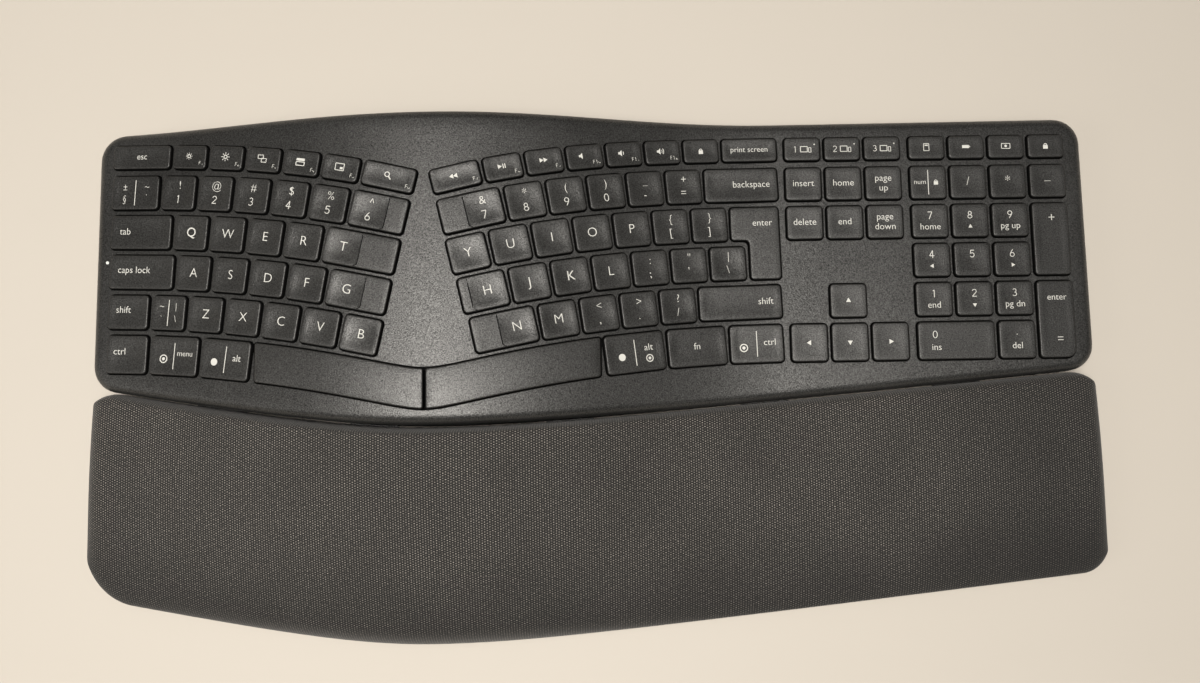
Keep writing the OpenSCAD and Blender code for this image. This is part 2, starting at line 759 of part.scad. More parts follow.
module controller_board() {
    color("darkgreen") on_frame() {
        translate([board_x, board_y, board_z]) cube([board_l, board_w, board_t]);
        translate([board_x + board_l * 0.3, board_y + board_w * 0.35, board_z + board_t]) cube(chip_size);
        translate([board_x + board_l * 0.65, board_y + board_w * 0.3, board_z + board_t]) cube(plug_size);
    }
}

module battery_cells() {
    color("goldenrod") on_frame() for (side = [-1, 1])
        translate([-cell_l / 2, bay_y + side * (cell_d + bay_play) / 2, cell_z])
            rotate([0, 90, 0]) {
                cylinder(d = cell_d, h = cell_l - terminal_l);
                cylinder(d = cell_d / 3, h = cell_l);
            }
}

// A plate at each end of each cell, with a coned spring on one of them
module battery_contacts() {
    color("lightsteelblue") on_frame() for (side = [-1, 1]) {
        y = bay_y + side * (cell_d + bay_play) / 2;
        for (x = [-bay_l / 2, bay_l / 2 - contact_t])
            translate([x, y - contact_h / 2, cell_z - contact_h / 2]) cube([contact_t, contact_h, contact_h]);
        translate([-bay_l / 2 + contact_t, y, cell_z])
            rotate([0, 90, 0])
                cylinder(d1 = cell_d * 0.7, d2 = cell_d * 0.4, h = bay_l / 2 - contact_t - cell_l / 2);
    }
}

module battery_door() {
    color(case_colour) on_frame() {
        translate([-door_l / 2 + door_gap, bay_y - door_w / 2 + door_gap, foot_h])
            cube([door_l - 2 * door_gap, door_w - 2 * door_gap, door_t - door_play]);
        translate([-bay_l / 2 + door_gap, bay_y - bay_w / 2 + door_gap, foot_h])
            cube([bay_l - 2 * door_gap, bay_w - 2 * door_gap, wall]);
    }
}

module power_switch() {
    color("black") on_frame() {
        translate([switch_x, switch_y - switch_w / 2, foot_h + switch_sunk]) cube([switch_l, switch_w, wall]);
        translate([switch_x - flange, switch_y - switch_w, floor_z + flange_gap])
            cube([switch_l + 2 * flange, 2 * switch_w, flange_t]);
    }
}

// One screw standing head down, its head's face at z = 0
screw_bite = 5;
screw_l = seam_z + screw_bite;
slot_w = 0.6;
slot_depth = 0.6;
module screw(l) {
    difference() {
        union() {
            cylinder(r = head_r, h = head_h);
            cylinder(r = screw_r, h = l);
        }
        for (turn = [0, 90]) rotate([0, 0, turn])
            translate([-head_r * 0.6, -slot_w / 2, -1]) cube([head_r * 1.2, slot_w, 1 + slot_depth]);
    }
}

module case_screws() {
    color(inner_colour) on_frame() for (spot = screw_spots)
        translate([spot[0], spot[1], foot_h]) screw(screw_l - wall - foot_h);
}

module palm_rest_screws() {
    color(inner_colour) on_frame() for (x = tongue_x)
        translate([x, tongue_screw_y(x), foot_h]) screw(tongue_screw_l - screw_end_gap);
}

// Rubber strips under the case and under the palm rest, as [x, y, length]
foot_w = 9;
foot_l = 40;
foot_in = 40;
foot_back = 12;
foot_front = 14;
foot_spots = [
    [-body_left + foot_in, back_y - foot_back, foot_l],
    [body_right - foot_in, back_y - foot_back, foot_l],
    [-ridge_x, back_y - foot_back, foot_l],
    [-palm_left + foot_in, palm_front(-palm_left + foot_in) + foot_front, foot_l],
    [palm_right - foot_in, palm_front(palm_right - foot_in) + foot_front, foot_l],
    [-ridge_x, palm_front(-ridge_x) + foot_front, foot_l]
];
module rubber_feet() {
    color("black") on_frame() for (spot = foot_spots)
        translate([spot[0], spot[1], 0])
            linear_extrude(foot_h) rounded(spot[2], foot_w, foot_w / 2 - 0.1);
}

// Plan of the palm rest, drawn in by an inset, at a share of its length and of its depth
function palm_x(share, inset) = -palm_left + inset + (palm_left + palm_right - 2 * inset) * share;
function end_distance(x) = min(x + palm_left, palm_right - x);
function corner_cut(x, r) =
    end_distance(x) >= r ? 0 : r - sqrt(max(0, 2 * r * end_distance(x) - pow(end_distance(x), 2)));
function palm_back_at(x) =
    front_edge(min(max(x, -body_left), body_right)) - palm_gap - corner_cut(x, corner_r);
function palm_front_at(x) = palm_front(x) + corner_cut(x, x < 0 ? palm_left_corner_r : corner_r);

// Height of the pad's outer face over a place, before its rim is rounded off
function pad_rise(x) = rise(min(max(x, -hump_left), hump_right));
function pad_face(x, share) =
    palm_back_z + (palm_front_z - palm_back_z) * pow(share, 1.6)
    + pad_rise(x) * (1 - (1 - palm_front_rise) * pow(share, 1.3))
    + palm_crown * sin(180 * share);

// Rounding of the rim: how much of the pad's height is left this far in from the rim
function rim_share(distance) =
    distance >= palm_round ? 1 : sqrt(max(0, 1 - pow(1 - distance / palm_round, 2)));

// One point of the pad's face, drawn in and down by an inset
rim_h = 2.4;
rim_band = 1.5;
rim_gap = 0.1;
rim_inset = 1;
rim_z = foot_h + carrier_t + rim_h;
function pad_point(i, j, inset) =
    let (
        along = spread(i / pad_columns),
        x = palm_x(along, inset),
        back = palm_back_at(x) - inset,
        front = palm_front_at(x) + inset,
        share = spread(j / pad_rows),
        y = back + (front - back) * share,
        distance = min(end_distance(x) - inset, (back - y) * palm_round / palm_back_round, y - front),
        low = rim_z + rim_band,
        face = pad_face(x, share) - inset
    )
    [x + palm_flare * (2 * along - 1) * share, y, low + (face - low) * rim_share(distance)];

// Even steps drawn together towards both ends, so that the rim gets more of them
function spread(t) = t - 0.11 * sin(360 * t);
pad_columns = 36;
pad_rows = 11;
pad_row_n = pad_rows + 1;
function pad_grid(inset) = [for (i = [0:pad_columns], j = [0:pad_rows]) pad_point(i, j, inset)];

// Order of the grid's border points, once round
pad_border = concat(
    [for (i = [0:pad_columns - 1]) i * pad_row_n],
    [for (j = [0:pad_rows - 1]) pad_columns * pad_row_n + j],
    [for (i = [pad_columns:-1:1]) i * pad_row_n + pad_rows],
    [for (j = [pad_rows:-1:1]) j]
);

// Two triangles for each cell of the grid, facing up or down
function grid_faces(start, up) = [for (i = [0:pad_columns - 1], j = [0:pad_rows - 1], half = [0, 1])
    let (
        a = start + i * pad_row_n + j,
        b = a + pad_row_n,
        tri = half == 0 ? [a, b, b + 1] : [a, b + 1, a + 1]
    )
    up ? tri : [tri[2], tri[1], tri[0]]];

// Two triangles for each step of a band between two loops of points
function band_faces(from, to, n) = [for (k = [0:n - 1], half = [0, 1])
    let (next = (k + 1) % n)
    half == 0 ? [from[k], to[k], to[next]] : [from[k], to[next], from[next]]];
function shifted(list, by) = [for (v = list) v + by];

// Triangles that close the border loop underneath: strips across it, and a fan at each end
function under_faces(start, n) =
    let (
        front = 2 * pad_columns + pad_rows,
        strips = [for (i = [1:pad_columns - 2], half = [0, 1])
            half == 0 ? [i, front - i, front - i - 1] : [i, front - i - 1, i + 1]],
        last = pad_columns - 1,
        right_fan = [for (k = [pad_columns + pad_rows + 1:-1:pad_columns + 1]) [last, k, k - 1]],
        left_fan = [for (m = [0:pad_rows - 1]) [front - 1, (n - m) % n, n - m - 1]]
    )
    [for (tri = concat(strips, right_fan, left_fan, [[front - 1, 1, 0]])) shifted(tri, start)];

// The pad as a closed form, drawn in by an inset, down to a flat underside
module pad_form(inset, under_z) {
    n = len(pad_border);
    size = (pad_columns + 1) * pad_row_n;
    top = pad_grid(inset);
    under = [for (k = pad_border) [top[k][0], top[k][1], under_z]];
    loop = [for (k = [0:n - 1]) k];
    polyhedron(
        points = concat(top, under),
        faces = concat(
            grid_faces(0, true),
            band_faces(pad_border, shifted(loop, size), n),
            under_faces(size, n)
        )
    );
}

// Fabric skin over the foam, with its rim turned down to the carrier
module palm_rest_cover() {
    color(fabric_colour) on_frame() difference() {
        pad_form(0, rim_z);
        pad_form(cover_t, rim_z - 1);
    }
}

// Foam between the carrier's ribs and the cover
foam_gap = 0.1;
foam_min_t = 0.6;
rib_low = 0.4;
rib_clear = 0.45;
function rib_top(x, share) =
    let (
        front = max(pad_face(x, 1) - cover_t - foam_front_t, rim_z + rib_low),
        back = pad_face(x, 0) - cover_t - foam_back_t
    )
    min(back + (front - back) * share, rim_z + foam_min_t + (back - rim_z) * (1 - share));
function foam_floor_point(i, j) =
    let (p = pad_point(i, j, cover_t + foam_gap), share = spread(j / pad_rows))
    [p[0], p[1], min(rib_top(p[0], share), p[2] - foam_min_t)];
module palm_rest_foam() {
    n = len(pad_border);
    size = (pad_columns + 1) * pad_row_n;
    upper = pad_grid(cover_t + foam_gap);
    lower = [for (i = [0:pad_columns], j = [0:pad_rows]) foam_floor_point(i, j)];
    color("lightgray") on_frame() polyhedron(
        points = concat(upper, lower),
        faces = concat(
            grid_faces(0, true),
            grid_faces(size, false),
            band_faces(pad_border, shifted(pad_border, size), n)
        )
    );
}

// Legs hinge at the front of the carrier and fold back into it, as [x, reach]
leg_lift = 0.8;
leg_drop = 0.6;
pin_fit = 0.02;
leg_z = foot_h + carrier_t + leg_lift;
leg_spots = [[-110, tall_leg], [-70, short_leg], [255, tall_leg], [215, short_leg]];
leg_hinge_back = 26;
leg_gap = 0.5;
ear_t = 3;
ear_r = 2.4;
function leg_hinge_y(x) = palm_front(x) + leg_hinge_back;

// Plan of the palm rest's carrier
module palm_plan(inset) {
    polygon(concat(
        [for (i = [0:pad_columns]) let (p = pad_point(i, 0, inset)) [p[0], p[1]]],
        [for (i = [pad_columns:-1:0]) let (p = pad_point(i, pad_rows, inset)) [p[0], p[1]]]
    ));
}

// Hard shell that carries the foam: a floor, a low rim, ribs, tongues and the legs' ears
carrier_rib_x = [-140, -90, -45, 0, 45, 90, 135, 180, 235, 280];
module palm_rest_carrier() {
    color(case_colour) on_frame() difference() {
        union() {
            translate([0, 0, foot_h]) linear_extrude(carrier_t) palm_plan(cover_t);
            translate([0, 0, foot_h]) linear_extrude(rim_z - foot_h - rim_gap) difference() {
                palm_plan(cover_t + rim_inset);
                palm_plan(cover_t + rim_inset + carrier_t);
            }
            for (x = carrier_rib_x) carrier_rib(x);
            for (x = tongue_x) tongue(x, 0, 0);
            for (leg = leg_spots) for (side = [-1, 1])
                translate([leg[0] + side * (leg_w / 2 + leg_gap + ear_t / 2), leg_hinge_y(leg[0]), leg_z])
                    rotate([0, 90, 0]) cylinder(r = ear_r, h = ear_t, center = true);
        }
        for (leg = leg_spots) {
            translate([leg[0] - leg_w / 2 - leg_gap, leg_hinge_y(leg[0]) - ear_r - leg_gap, foot_h - 1])
                cube([leg_w + 2 * leg_gap, leg[1] + ear_r + 2 * leg_gap, carrier_t + 2]);
            translate([leg[0], leg_hinge_y(leg[0]), leg_z])
                rotate([0, 90, 0]) cylinder(r = pin_r + pin_fit, h = 2 * leg_w, center = true);
        }
        for (x = tongue_x) {
            translate([x, tongue_screw_y(x), foot_h - 1])
                cylinder(r = screw_r + 2 * thread_clear, h = tall_box);
            translate([x, tongue_screw_y(x), foot_h - 1]) cylinder(r = head_r + head_clear, h = head_h + 1);
        }
    }
}

// A rib whose top runs straight under the foam, clear of the pad's rounded rim
module carrier_rib(x) {
    reach = cover_t + palm_round + carrier_t;
    back = palm_back_at(x) - reach;
    front = palm_front_at(x) + reach;
    z0 = foot_h + carrier_t / 2;
    translate([x - carrier_t / 2, 0, 0]) rotate([90, 0, 90]) linear_extrude(carrier_t)
        polygon([[front, z0], [back, z0], [back, rib_clear_top(x, back)], [front, rib_clear_top(x, front)]]);
}
function depth_share(x, y) = (palm_back_at(x) - y) / (palm_back_at(x) - palm_front_at(x));
function rib_clear_top(x, y) =
    min([for (side = [-1, 1]) rib_top(x + side * carrier_t / 2, depth_share(x, y))]) - rib_clear;

// A tilt leg folded flat: a barrel on the pin and a plate that reaches back
module leg(x, reach) {
    translate([x, leg_hinge_y(x), leg_z]) difference() {
        union() {
            rotate([0, 90, 0]) cylinder(r = ear_r, h = leg_w, center = true);
            translate([-leg_w / 2, 0, -ear_r + leg_drop]) cube([leg_w, reach, leg_t]);
        }
        rotate([0, 90, 0]) cylinder(r = pin_r + pin_clear, h = 2 * leg_w, center = true);
    }
}
module left_tall_leg() {
    color("black") on_frame() leg(leg_spots[0][0], leg_spots[0][1]);
}
module left_short_leg() {
    color("black") on_frame() leg(leg_spots[1][0], leg_spots[1][1]);
}
module right_tall_leg() {
    color("black") on_frame() leg(leg_spots[2][0], leg_spots[2][1]);
}
module right_short_leg() {
    color("black") on_frame() leg(leg_spots[3][0], leg_spots[3][1]);
}
module leg_hinge_pins() {
    color(inner_colour) on_frame() for (leg = leg_spots)
        translate([leg[0], leg_hinge_y(leg[0]), leg_z])
            rotate([0, 90, 0]) cylinder(r = pin_r, h = leg_w + 2 * (leg_gap + ear_t), center = true);
}

// Keys of the left half
module escape_key() { key_bank(pick(left_row(0), 0, 0)); }
module function_keys_left() { key_bank(pick(left_row(0), 1, 6)); }
module number_keys_left() { key_bank(left_row(1)); }
module tab_key() { key_bank(pick(left_row(2), 0, 0)); }
module upper_letter_keys_left() { key_bank(pick(left_row(2), 1, 5)); }
module caps_lock_key() { key_bank(pick(left_row(3), 0, 0)); }
module home_letter_keys_left() { key_bank(pick(left_row(3), 1, 5)); }
module left_shift_key() { key_bank(pick(left_row(4), 0, 0)); }
module lower_letter_keys_left() { key_bank(pick(left_row(4), 1, 6)); }
module left_modifier_keys() { key_bank(left_row(5)); }

// Keys of the right half
module function_keys_right() { key_bank(right_row(0)); }
module number_keys_right() { key_bank(pick(right_row(1), 1, 6)); }
module backspace_key() { key_bank(pick(right_row(1), 0, 0)); }
module upper_letter_keys_right() { key_bank(upper_right_keys); }
module home_letter_keys_right() { key_bank(home_right_keys); }
module right_shift_key() { key_bank(pick(right_row(4), 0, 0)); }
module lower_letter_keys_right() { key_bank(pick(right_row(4), 1, 5)); }
module right_modifier_keys() { key_bank(right_row(5)); }

// Stepped enter key, a shell over two rows
module enter_key() {
    color(key_colour) on_frame() at_enter() {
        difference() {
            translate([0, 0, -skirt]) linear_extrude(skirt + cap_h) enter_plan(-key_gap, cap_r);
            translate([0, 0, -skirt - 1]) linear_extrude(skirt + 1 + cap_h - cap_roof)
                enter_plan(-key_gap - cap_wall, cap_r - cap_wall / 2);
        }
        for (spot = enter_posts) translate([spot[0], spot[1], 0]) post();
    }
}

// A space bar follows the hump: a shell between two heights over the frame
module space_bar(from_x, to_x, posts) {
    color(key_colour) on_frame() {
        difference() {
            intersection() {
                profile_band(-skirt, cap_h);
                linear_extrude(tall_box) bar_plan(from_x, to_x, -key_gap);
            }
            intersection() {
                profile_band(-2 * skirt, cap_h - cap_roof);
                linear_extrude(tall_box) bar_plan(from_x, to_x, -key_gap - cap_wall);
            }
        }
        for (x = posts) translate([x, bar_y(x), frame_z(x)]) post();
    }
}
module left_space_bar() {
    space_bar(bar_from, -bar_gap / 2 + key_gap, bar_posts_left);
}
module right_space_bar() {
    space_bar(bar_gap / 2 - key_gap, bar_to, bar_posts_right);
}

// Keys of the navigation block and the number pad
module device_keys() { key_bank(device_cells); }
module editing_keys() { key_bank(editing_cells); }
module arrow_up_key() { key_bank([arrow_cells[0]]); }
module arrow_left_key() { key_bank([arrow_cells[1]]); }
module arrow_down_key() { key_bank([arrow_cells[2]]); }
module arrow_right_key() { key_bank([arrow_cells[3]]); }
module pad_function_keys() { key_bank(pad_function_cells); }
module pad_operator_keys() { key_bank(pad_operator_cells); }
module pad_digit_keys() { key_bank(pad_digit_cells); }
module pad_zero_key() { key_bank([pad_zero_cell]); }
module pad_point_key() { key_bank([pad_point_cell]); }
module pad_plus_key() {
    color(key_colour) on_frame()
        at_cell(pad_tall_cells[0]) keycap(pad_tall_cells[0][2], pad_tall_cells[0][3]);
}
module pad_enter_key() {
    color(key_colour) on_frame()
        at_cell(pad_tall_cells[1]) keycap(pad_tall_cells[1][2], pad_tall_cells[1][3]);
}

top_case();
bottom_case();
guide_plate();
dome_sheet();
contact_membrane();
support_plate();
controller_board();
battery_cells();
battery_contacts();
battery_door();
power_switch();
caps_lock_light();
case_screws();
rubber_feet();
palm_rest_carrier();
palm_rest_foam();
palm_rest_cover();
palm_rest_screws();
left_tall_leg();
right_tall_leg();
left_short_leg();
right_short_leg();
leg_hinge_pins();
escape_key();
function_keys_left();
number_keys_left();
tab_key();
upper_letter_keys_left();
caps_lock_key();
home_letter_keys_left();
left_shift_key();
lower_letter_keys_left();
left_modifier_keys();
left_space_bar();
function_keys_right();
number_keys_right();
backspace_key();
upper_letter_keys_right();
enter_key();
home_letter_keys_right();
right_shift_key();
lower_letter_keys_right();
right_modifier_keys();
right_space_bar();
device_keys();
editing_keys();
arrow_up_key();
arrow_left_key();
arrow_down_key();
arrow_right_key();
pad_function_keys();
pad_operator_keys();
pad_digit_keys();
pad_plus_key();
pad_enter_key();
pad_zero_key();
pad_point_key();
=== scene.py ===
"""Looks of a split ergonomic keyboard: printed key caps, a humped frame and a knitted palm rest.

Lengths in the classes are millimetres, measured from the ridge at the home row, as in the solids.
Layout.world turns such a point into metres in the shared frame.
"""

import logging
import math
from collections import Counter
from dataclasses import dataclass, field, replace
from enum import Enum
from typing import Callable, Optional, Sequence, Union

import bpy
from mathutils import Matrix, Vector
from mathutils.geometry import delaunay_2d_cdt

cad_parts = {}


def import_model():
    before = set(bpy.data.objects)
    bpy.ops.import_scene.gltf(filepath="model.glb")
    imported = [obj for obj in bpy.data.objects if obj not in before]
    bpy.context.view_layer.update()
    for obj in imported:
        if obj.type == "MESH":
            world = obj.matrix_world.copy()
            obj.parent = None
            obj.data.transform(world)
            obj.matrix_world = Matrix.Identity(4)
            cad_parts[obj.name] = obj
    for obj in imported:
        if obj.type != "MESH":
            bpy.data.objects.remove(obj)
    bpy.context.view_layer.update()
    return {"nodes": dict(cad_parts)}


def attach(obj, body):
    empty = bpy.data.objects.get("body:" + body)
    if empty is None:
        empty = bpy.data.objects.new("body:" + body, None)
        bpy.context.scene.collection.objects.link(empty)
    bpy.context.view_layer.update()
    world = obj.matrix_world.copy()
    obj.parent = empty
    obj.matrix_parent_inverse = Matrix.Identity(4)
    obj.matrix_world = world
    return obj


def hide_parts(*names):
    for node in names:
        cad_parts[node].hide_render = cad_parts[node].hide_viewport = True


LOG = logging.getLogger("keyboard")
MM = 0.001

Point2 = tuple[float, float]
Point3 = tuple[float, float, float]
Colour = tuple[float, float, float, float]
Face = tuple[int, ...]
Flat = tuple[list[Point2], list[Face]]
Ring = Sequence[Point2]
Box = tuple[Point2, Point2, Ring]
Material = bpy.types.Material
Piece = bpy.types.Object
Tree = bpy.types.NodeTree
Socket = bpy.types.NodeSocket

FUNCTION_ROW, BOTTOM_ROW = 0, 5
LONG_STEPS, SHORT_STEPS = 90, 16
LEAST_R = 0.05
LOOP_STEP = 3.5
MERGE_MM = 1e-6
# Material slots of a bank; the third is painted shade, a near-black finish on plastic that lies in shadow.
PLASTIC, INK, PAINTED_SHADE = 0, 1, 2
EDGE_TURNS = (18, 36, 54, 72, 90)
RIM_TURNS = (15, 30, 45, 60, 75, 90)
SIGN_THIN = (0.014, 0.01, 0.006, 0.003, 0.0)
WORD_THIN = (0.006, 0.003, 0.0)
STROKE = 0.09
ROUND_STEPS = 16


class Side(Enum):
    """The half of the keyboard that a row of keys belongs to."""

    LEFT = 1
    RIGHT = -1


class Align(Enum):
    """What a printed mark is measured from across its key."""

    LEFT = "LEFT"
    CENTRE = "CENTER"
    RIGHT = "RIGHT"


class Icon(Enum):
    """Small printed signs."""

    (SUN_LOW, SUN_HIGH, WINDOWS, LIST, DESKTOP, SEARCH, BACK, PLAY, FORWARD, MUTE, QUIETER, LOUDER,
     LOCK, DEVICES, SUMS, CELL, SNAP, UP, DOWN, POINT_LEFT, POINT_RIGHT, DIVIDER, DOT, RING) = range(24)


@dataclass(frozen=True)
class Layout:
    """Sizes that place every key on the bent and humped frame."""

    key_pitch: float = 18.4
    row_pitch: float = 18.05
    function_cell: float = 13.4
    bottom_cell: float = 19.8
    function_gap: float = 0.6
    web: float = 1.8
    column_web: float = 1.0
    key_gap: float = 0.4
    nav_gap: float = 1.6
    pad_gap: float = 2.2
    left_span: float = 7.913
    right_span: float = 8.579
    flat_z: float = 18.0
    hump_h: float = 28.4
    hump_left: float = 175.0
    hump_right: float = 156.0
    bend_d: float = 21.7
    bend_left: float = 163.0
    bend_right: float = 160.0
    left_margin: float = 7.0
    right_margin: float = 8.5
    back_margin: float = 5.4
    back_lean: float = 0.006
    front_margin: float = 2.7
    corner_r: float = 12.0
    front_slope_left: float = 0.182
    front_slope_right: float = 0.086
    front_round: float = 60.0
    palm_gap: float = 0.6
    palm_d: float = 96.0
    palm_over: float = 3.0
    palm_flare: float = 1.6
    palm_extra_left: float = 0.036
    palm_extra_right: float = 0.02
    palm_left_corner_r: float = 21.0
    bar_gap: float = 0.9
    bar_round: float = 9.0
    left_rows: tuple[tuple[float, ...], ...] = (
        (1.64, 1, 1, 1, 1, 1, 1.35),
        (1.35, 1, 1, 1, 1, 1, 1.43),
        (1.71, 1, 1, 1, 1, 1.86),
        (1.8, 1, 1, 1, 1, 1.56),
        (1.16, 1, 1, 1, 1, 1, 1),
        (1.16, 1.37, 1.39),
    )
    right_rows: tuple[tuple[float, ...], ...] = (
        (1.49, 1, 1, 1, 1, 1, 1, 1.25),
        (1.96, 1, 1, 1, 1, 1, 1.57),
        (1.32, 1, 1, 1, 1, 1, 1, 1),
        (0.87, 1, 1, 1, 1, 1, 1, 1.19),
        (2.18, 1, 1, 1, 1, 1.6),
        (1.43, 1.58, 1.59),
    )

    @property
    def left_start(self) -> float:
        """Run from the ridge to the left rows' outer end."""
        return self.left_span * self.key_pitch

    @property
    def right_start(self) -> float:
        """Run from the ridge to the right rows' outer end."""
        return self.right_span * self.key_pitch

    @property
    def nav_x(self) -> float:
        """Centre of the navigation block's first column."""
        return self.right_start + self.nav_gap + self.key_pitch / 2

    @property
    def pad_x(self) -> float:
        """Centre of the number pad's first column."""
        return self.nav_x + 3 * self.key_pitch + self.pad_gap

    @property
    def body_left(self) -> float:
        """Run from the ridge to the case's left end."""
        return self.left_start + self.left_margin

    @property
    def body_right(self) -> float:
        """Run from the ridge to the case's right end."""
        return self.pad_x + 3.5 * self.key_pitch + self.right_margin

    @property
    def back_y(self) -> float:
        """The case's back edge."""
        return self.row_y(FUNCTION_ROW) + self.function_cell / 2 + self.back_margin

    def back_edge(self, x: float) -> float:
        """The case's back edge in plan, which leans a little."""
        return self.back_y + self.back_lean * x

    @property
    def ridge_front_y(self) -> float:
        """The case's front edge at the ridge."""
        return self.row_y(BOTTOM_ROW) - self.bend_d - self.bottom_cell / 2 - self.front_margin

    @property
    def palm_front_y(self) -> float:
        """The palm rest's front edge at the ridge."""
        return self.ridge_front_y - self.palm_gap - self.palm_d

    @property
    def palm_left(self) -> float:
        """Run from the ridge to the palm rest's left end."""
        return self.body_left + self.palm_over

    @property
    def palm_right(self) -> float:
        """Run from the ridge to the palm rest's right end."""
        return self.body_right + self.palm_over

    def world(self, point: Point3) -> Vector:
        """Turns a point from the ridge in millimetres into the shared frame in metres."""
        ridge_x = (self.palm_left - self.palm_right) / 2
        home_y = -(self.back_edge(self.body_right) + self.palm_front_y) / 2
        return Vector((point[0] + ridge_x, point[1] + home_y, point[2])) * MM

    def cell_depth(self, row: int) -> float:
        """Depth of the cells of a row, counted from the back."""
        if row == FUNCTION_ROW:
            return self.function_cell
        return self.bottom_cell if row == BOTTOM_ROW else self.row_pitch

    def row_y(self, row: int) -> float:
        """Centre of a row over the home row, before it bends."""
        if row == FUNCTION_ROW:
            return 2.5 * self.row_pitch + self.function_gap + self.function_cell / 2
        if row == BOTTOM_ROW:
            return -1.5 * self.row_pitch - self.bottom_cell / 2
        return (3 - row) * self.row_pitch

    def rise(self, x: float) -> float:
        """Rise of the hump over the flat frame."""
        run = self.hump_left if x < 0 else self.hump_right
        return self.hump_h / 2 * (1 + math.cos(math.pi * min(abs(x) / run, 1)))

    def frame_z(self, x: float) -> float:
        """Height of the frame's face over the desk."""
        return self.flat_z + self.rise(x)

    def slope(self, x: float) -> float:
        """Tilt of the frame's face about Y, in radians, positive where it climbs along X."""
        run = self.hump_left if x < 0 else self.hump_right
        if abs(x) >= run:
            return 0.0
        grade = self.hump_h / 2 * math.pi / run * math.sin(math.pi * abs(x) / run)
        return math.atan(grade if x < 0 else -grade)

    def bend_share(self, x: float) -> float:
        """How far into the bend a place lies, from 0 outside to 1 at the ridge."""
        return max(0.0, 1 + x / self.bend_left if x < 0 else 1 - x / self.bend_right)

    def bend(self, x: float) -> float:
        """How far a row swings forward at a place."""
        return -self.bend_d * self.bend_share(x) ** 2

    def heading(self, x: float) -> float:
        """Turn of a row about the frame's normal, in radians."""
        rate = -2 / self.bend_left if x < 0 else 2 / self.bend_right
        return math.atan(rate * self.bend_d * self.bend_share(x))

    def bar_y(self, x: float) -> float:
        """Centre line of the space bars, rounded off at the ridge."""
        reach = math.hypot(x, self.bar_round)
        return self.row_y(BOTTOM_ROW) + self.bend(-reach if x < 0 else reach)

    def walk(self, x: float, run: float) -> float:
        """Where a run along a row ends, from a place on it."""
        middle = x + run / 2
        return x + run * math.cos(self.heading(middle)) * math.cos(self.slope(middle))

    def front_edge(self, x: float) -> float:
        """The case's front edge in plan."""
        slope = self.front_slope_left if x < 0 else self.front_slope_right
        return self.ridge_front_y + slope * self.edge_run(x)

    def palm_front(self, x: float) -> float:
        """The palm rest's front edge in plan."""
        left = self.front_slope_left + self.palm_extra_left
        slope = left if x < 0 else self.front_slope_right + self.palm_extra_right
        return self.palm_front_y + slope * self.edge_run(x)

    def edge_run(self, x: float) -> float:
        """Distance from the ridge with a round at the ridge itself."""
        return math.hypot(x, self.front_round) - self.front_round

    def row_cells(self, side: Side, row: int) -> list["Cell"]:
        """Cells of one row half from its outer end to the ridge.

        Args:
            side: the half that the row belongs to.
            row: the row, counted from the back.

        Returns:
            One cell for each key.
        """
        left = side is Side.LEFT
        widths = (self.left_rows if left else self.right_rows)[row]
        x = -self.left_start if left else self.right_start
        cells = []
        for width in widths:
            half = side.value * width * self.key_pitch / 2
            centre = self.walk(x, half)
            cells.append(self.cell(centre, row, width * self.key_pitch))
            x = self.walk(centre, half)
        return cells

    def cell(self, x: float, row: int, width: Optional[float] = None) -> "Cell":
        """The cell of a key that is centred on a place of a row."""
        y = self.row_y(row) + self.bend(x)
        size = width or self.key_pitch
        return Cell(self, x, y, size, self.cell_depth(row), self.slope(x), self.heading(x))

    def tall_cell(self, x: float, upper: int, lower: int, width: float) -> "Cell":
        """The cell of a key that stands across two rows."""
        top = self.row_y(upper) + self.cell_depth(upper) / 2
        bottom = self.row_y(lower) - self.cell_depth(lower) / 2
        y = (top + bottom) / 2 + self.bend(x)
        return Cell(self, x, y, width, top - bottom, self.slope(x), self.heading(x))

    def bar_ends(self) -> Point2:
        """Outer ends of the two space bars' openings."""
        left = self.row_cells(Side.LEFT, BOTTOM_ROW)[-1]
        right = self.row_cells(Side.RIGHT, BOTTOM_ROW)[-1]
        half = self.column_web / 2
        return self.walk(left.x, left.w / 2) + half, self.walk(right.x, -right.w / 2) - half

    def body_loop(self, inset: float) -> list[Point2]:
        """Plan of the case, drawn in, with the same number of points for every inset."""
        r = max(self.corner_r - inset, 1.0)
        x0, x1 = -self.body_left + inset, self.body_right - inset
        y0, y1 = self.back_edge(x0) - inset, self.back_edge(x1) - inset
        lean0, lean1 = math.atan(self.front_slope_left), math.atan(self.front_slope_right)
        xa, xb = x0 + r - r * math.sin(lean0), x1 - r + r * math.sin(lean1)
        ya = self.front_edge(xa) + inset + r * math.cos(lean0)
        yb = self.front_edge(xb) + inset + r * math.cos(lean1)
        turn = math.pi / 2
        loop = arc((x0 + r, ya), r, 2 * turn, 3 * turn - lean0)
        front = [xa + (xb - xa) * i / LONG_STEPS for i in range(1, LONG_STEPS)]
        loop += [(x, self.front_edge(x) + inset) for x in front]
        loop += arc((x1 - r, yb), r, 3 * turn + lean1, 4 * turn)
        loop += [(x1, yb + (y1 - r - yb) * i / SHORT_STEPS) for i in range(1, SHORT_STEPS)]
        loop += arc((x1 - r, y1 - r), r, 0, turn)
        back = [i / LONG_STEPS for i in range(1, LONG_STEPS)]
        loop += [(x1 - r + (x0 - x1 + 2 * r) * t, y1 + (y0 - y1) * t) for t in back]
        loop += arc((x0 + r, y0 - r), r, turn, 2 * turn)
        loop += [(x0, y0 - r + (ya - y0 + r) * i / SHORT_STEPS) for i in range(1, SHORT_STEPS)]
        return loop


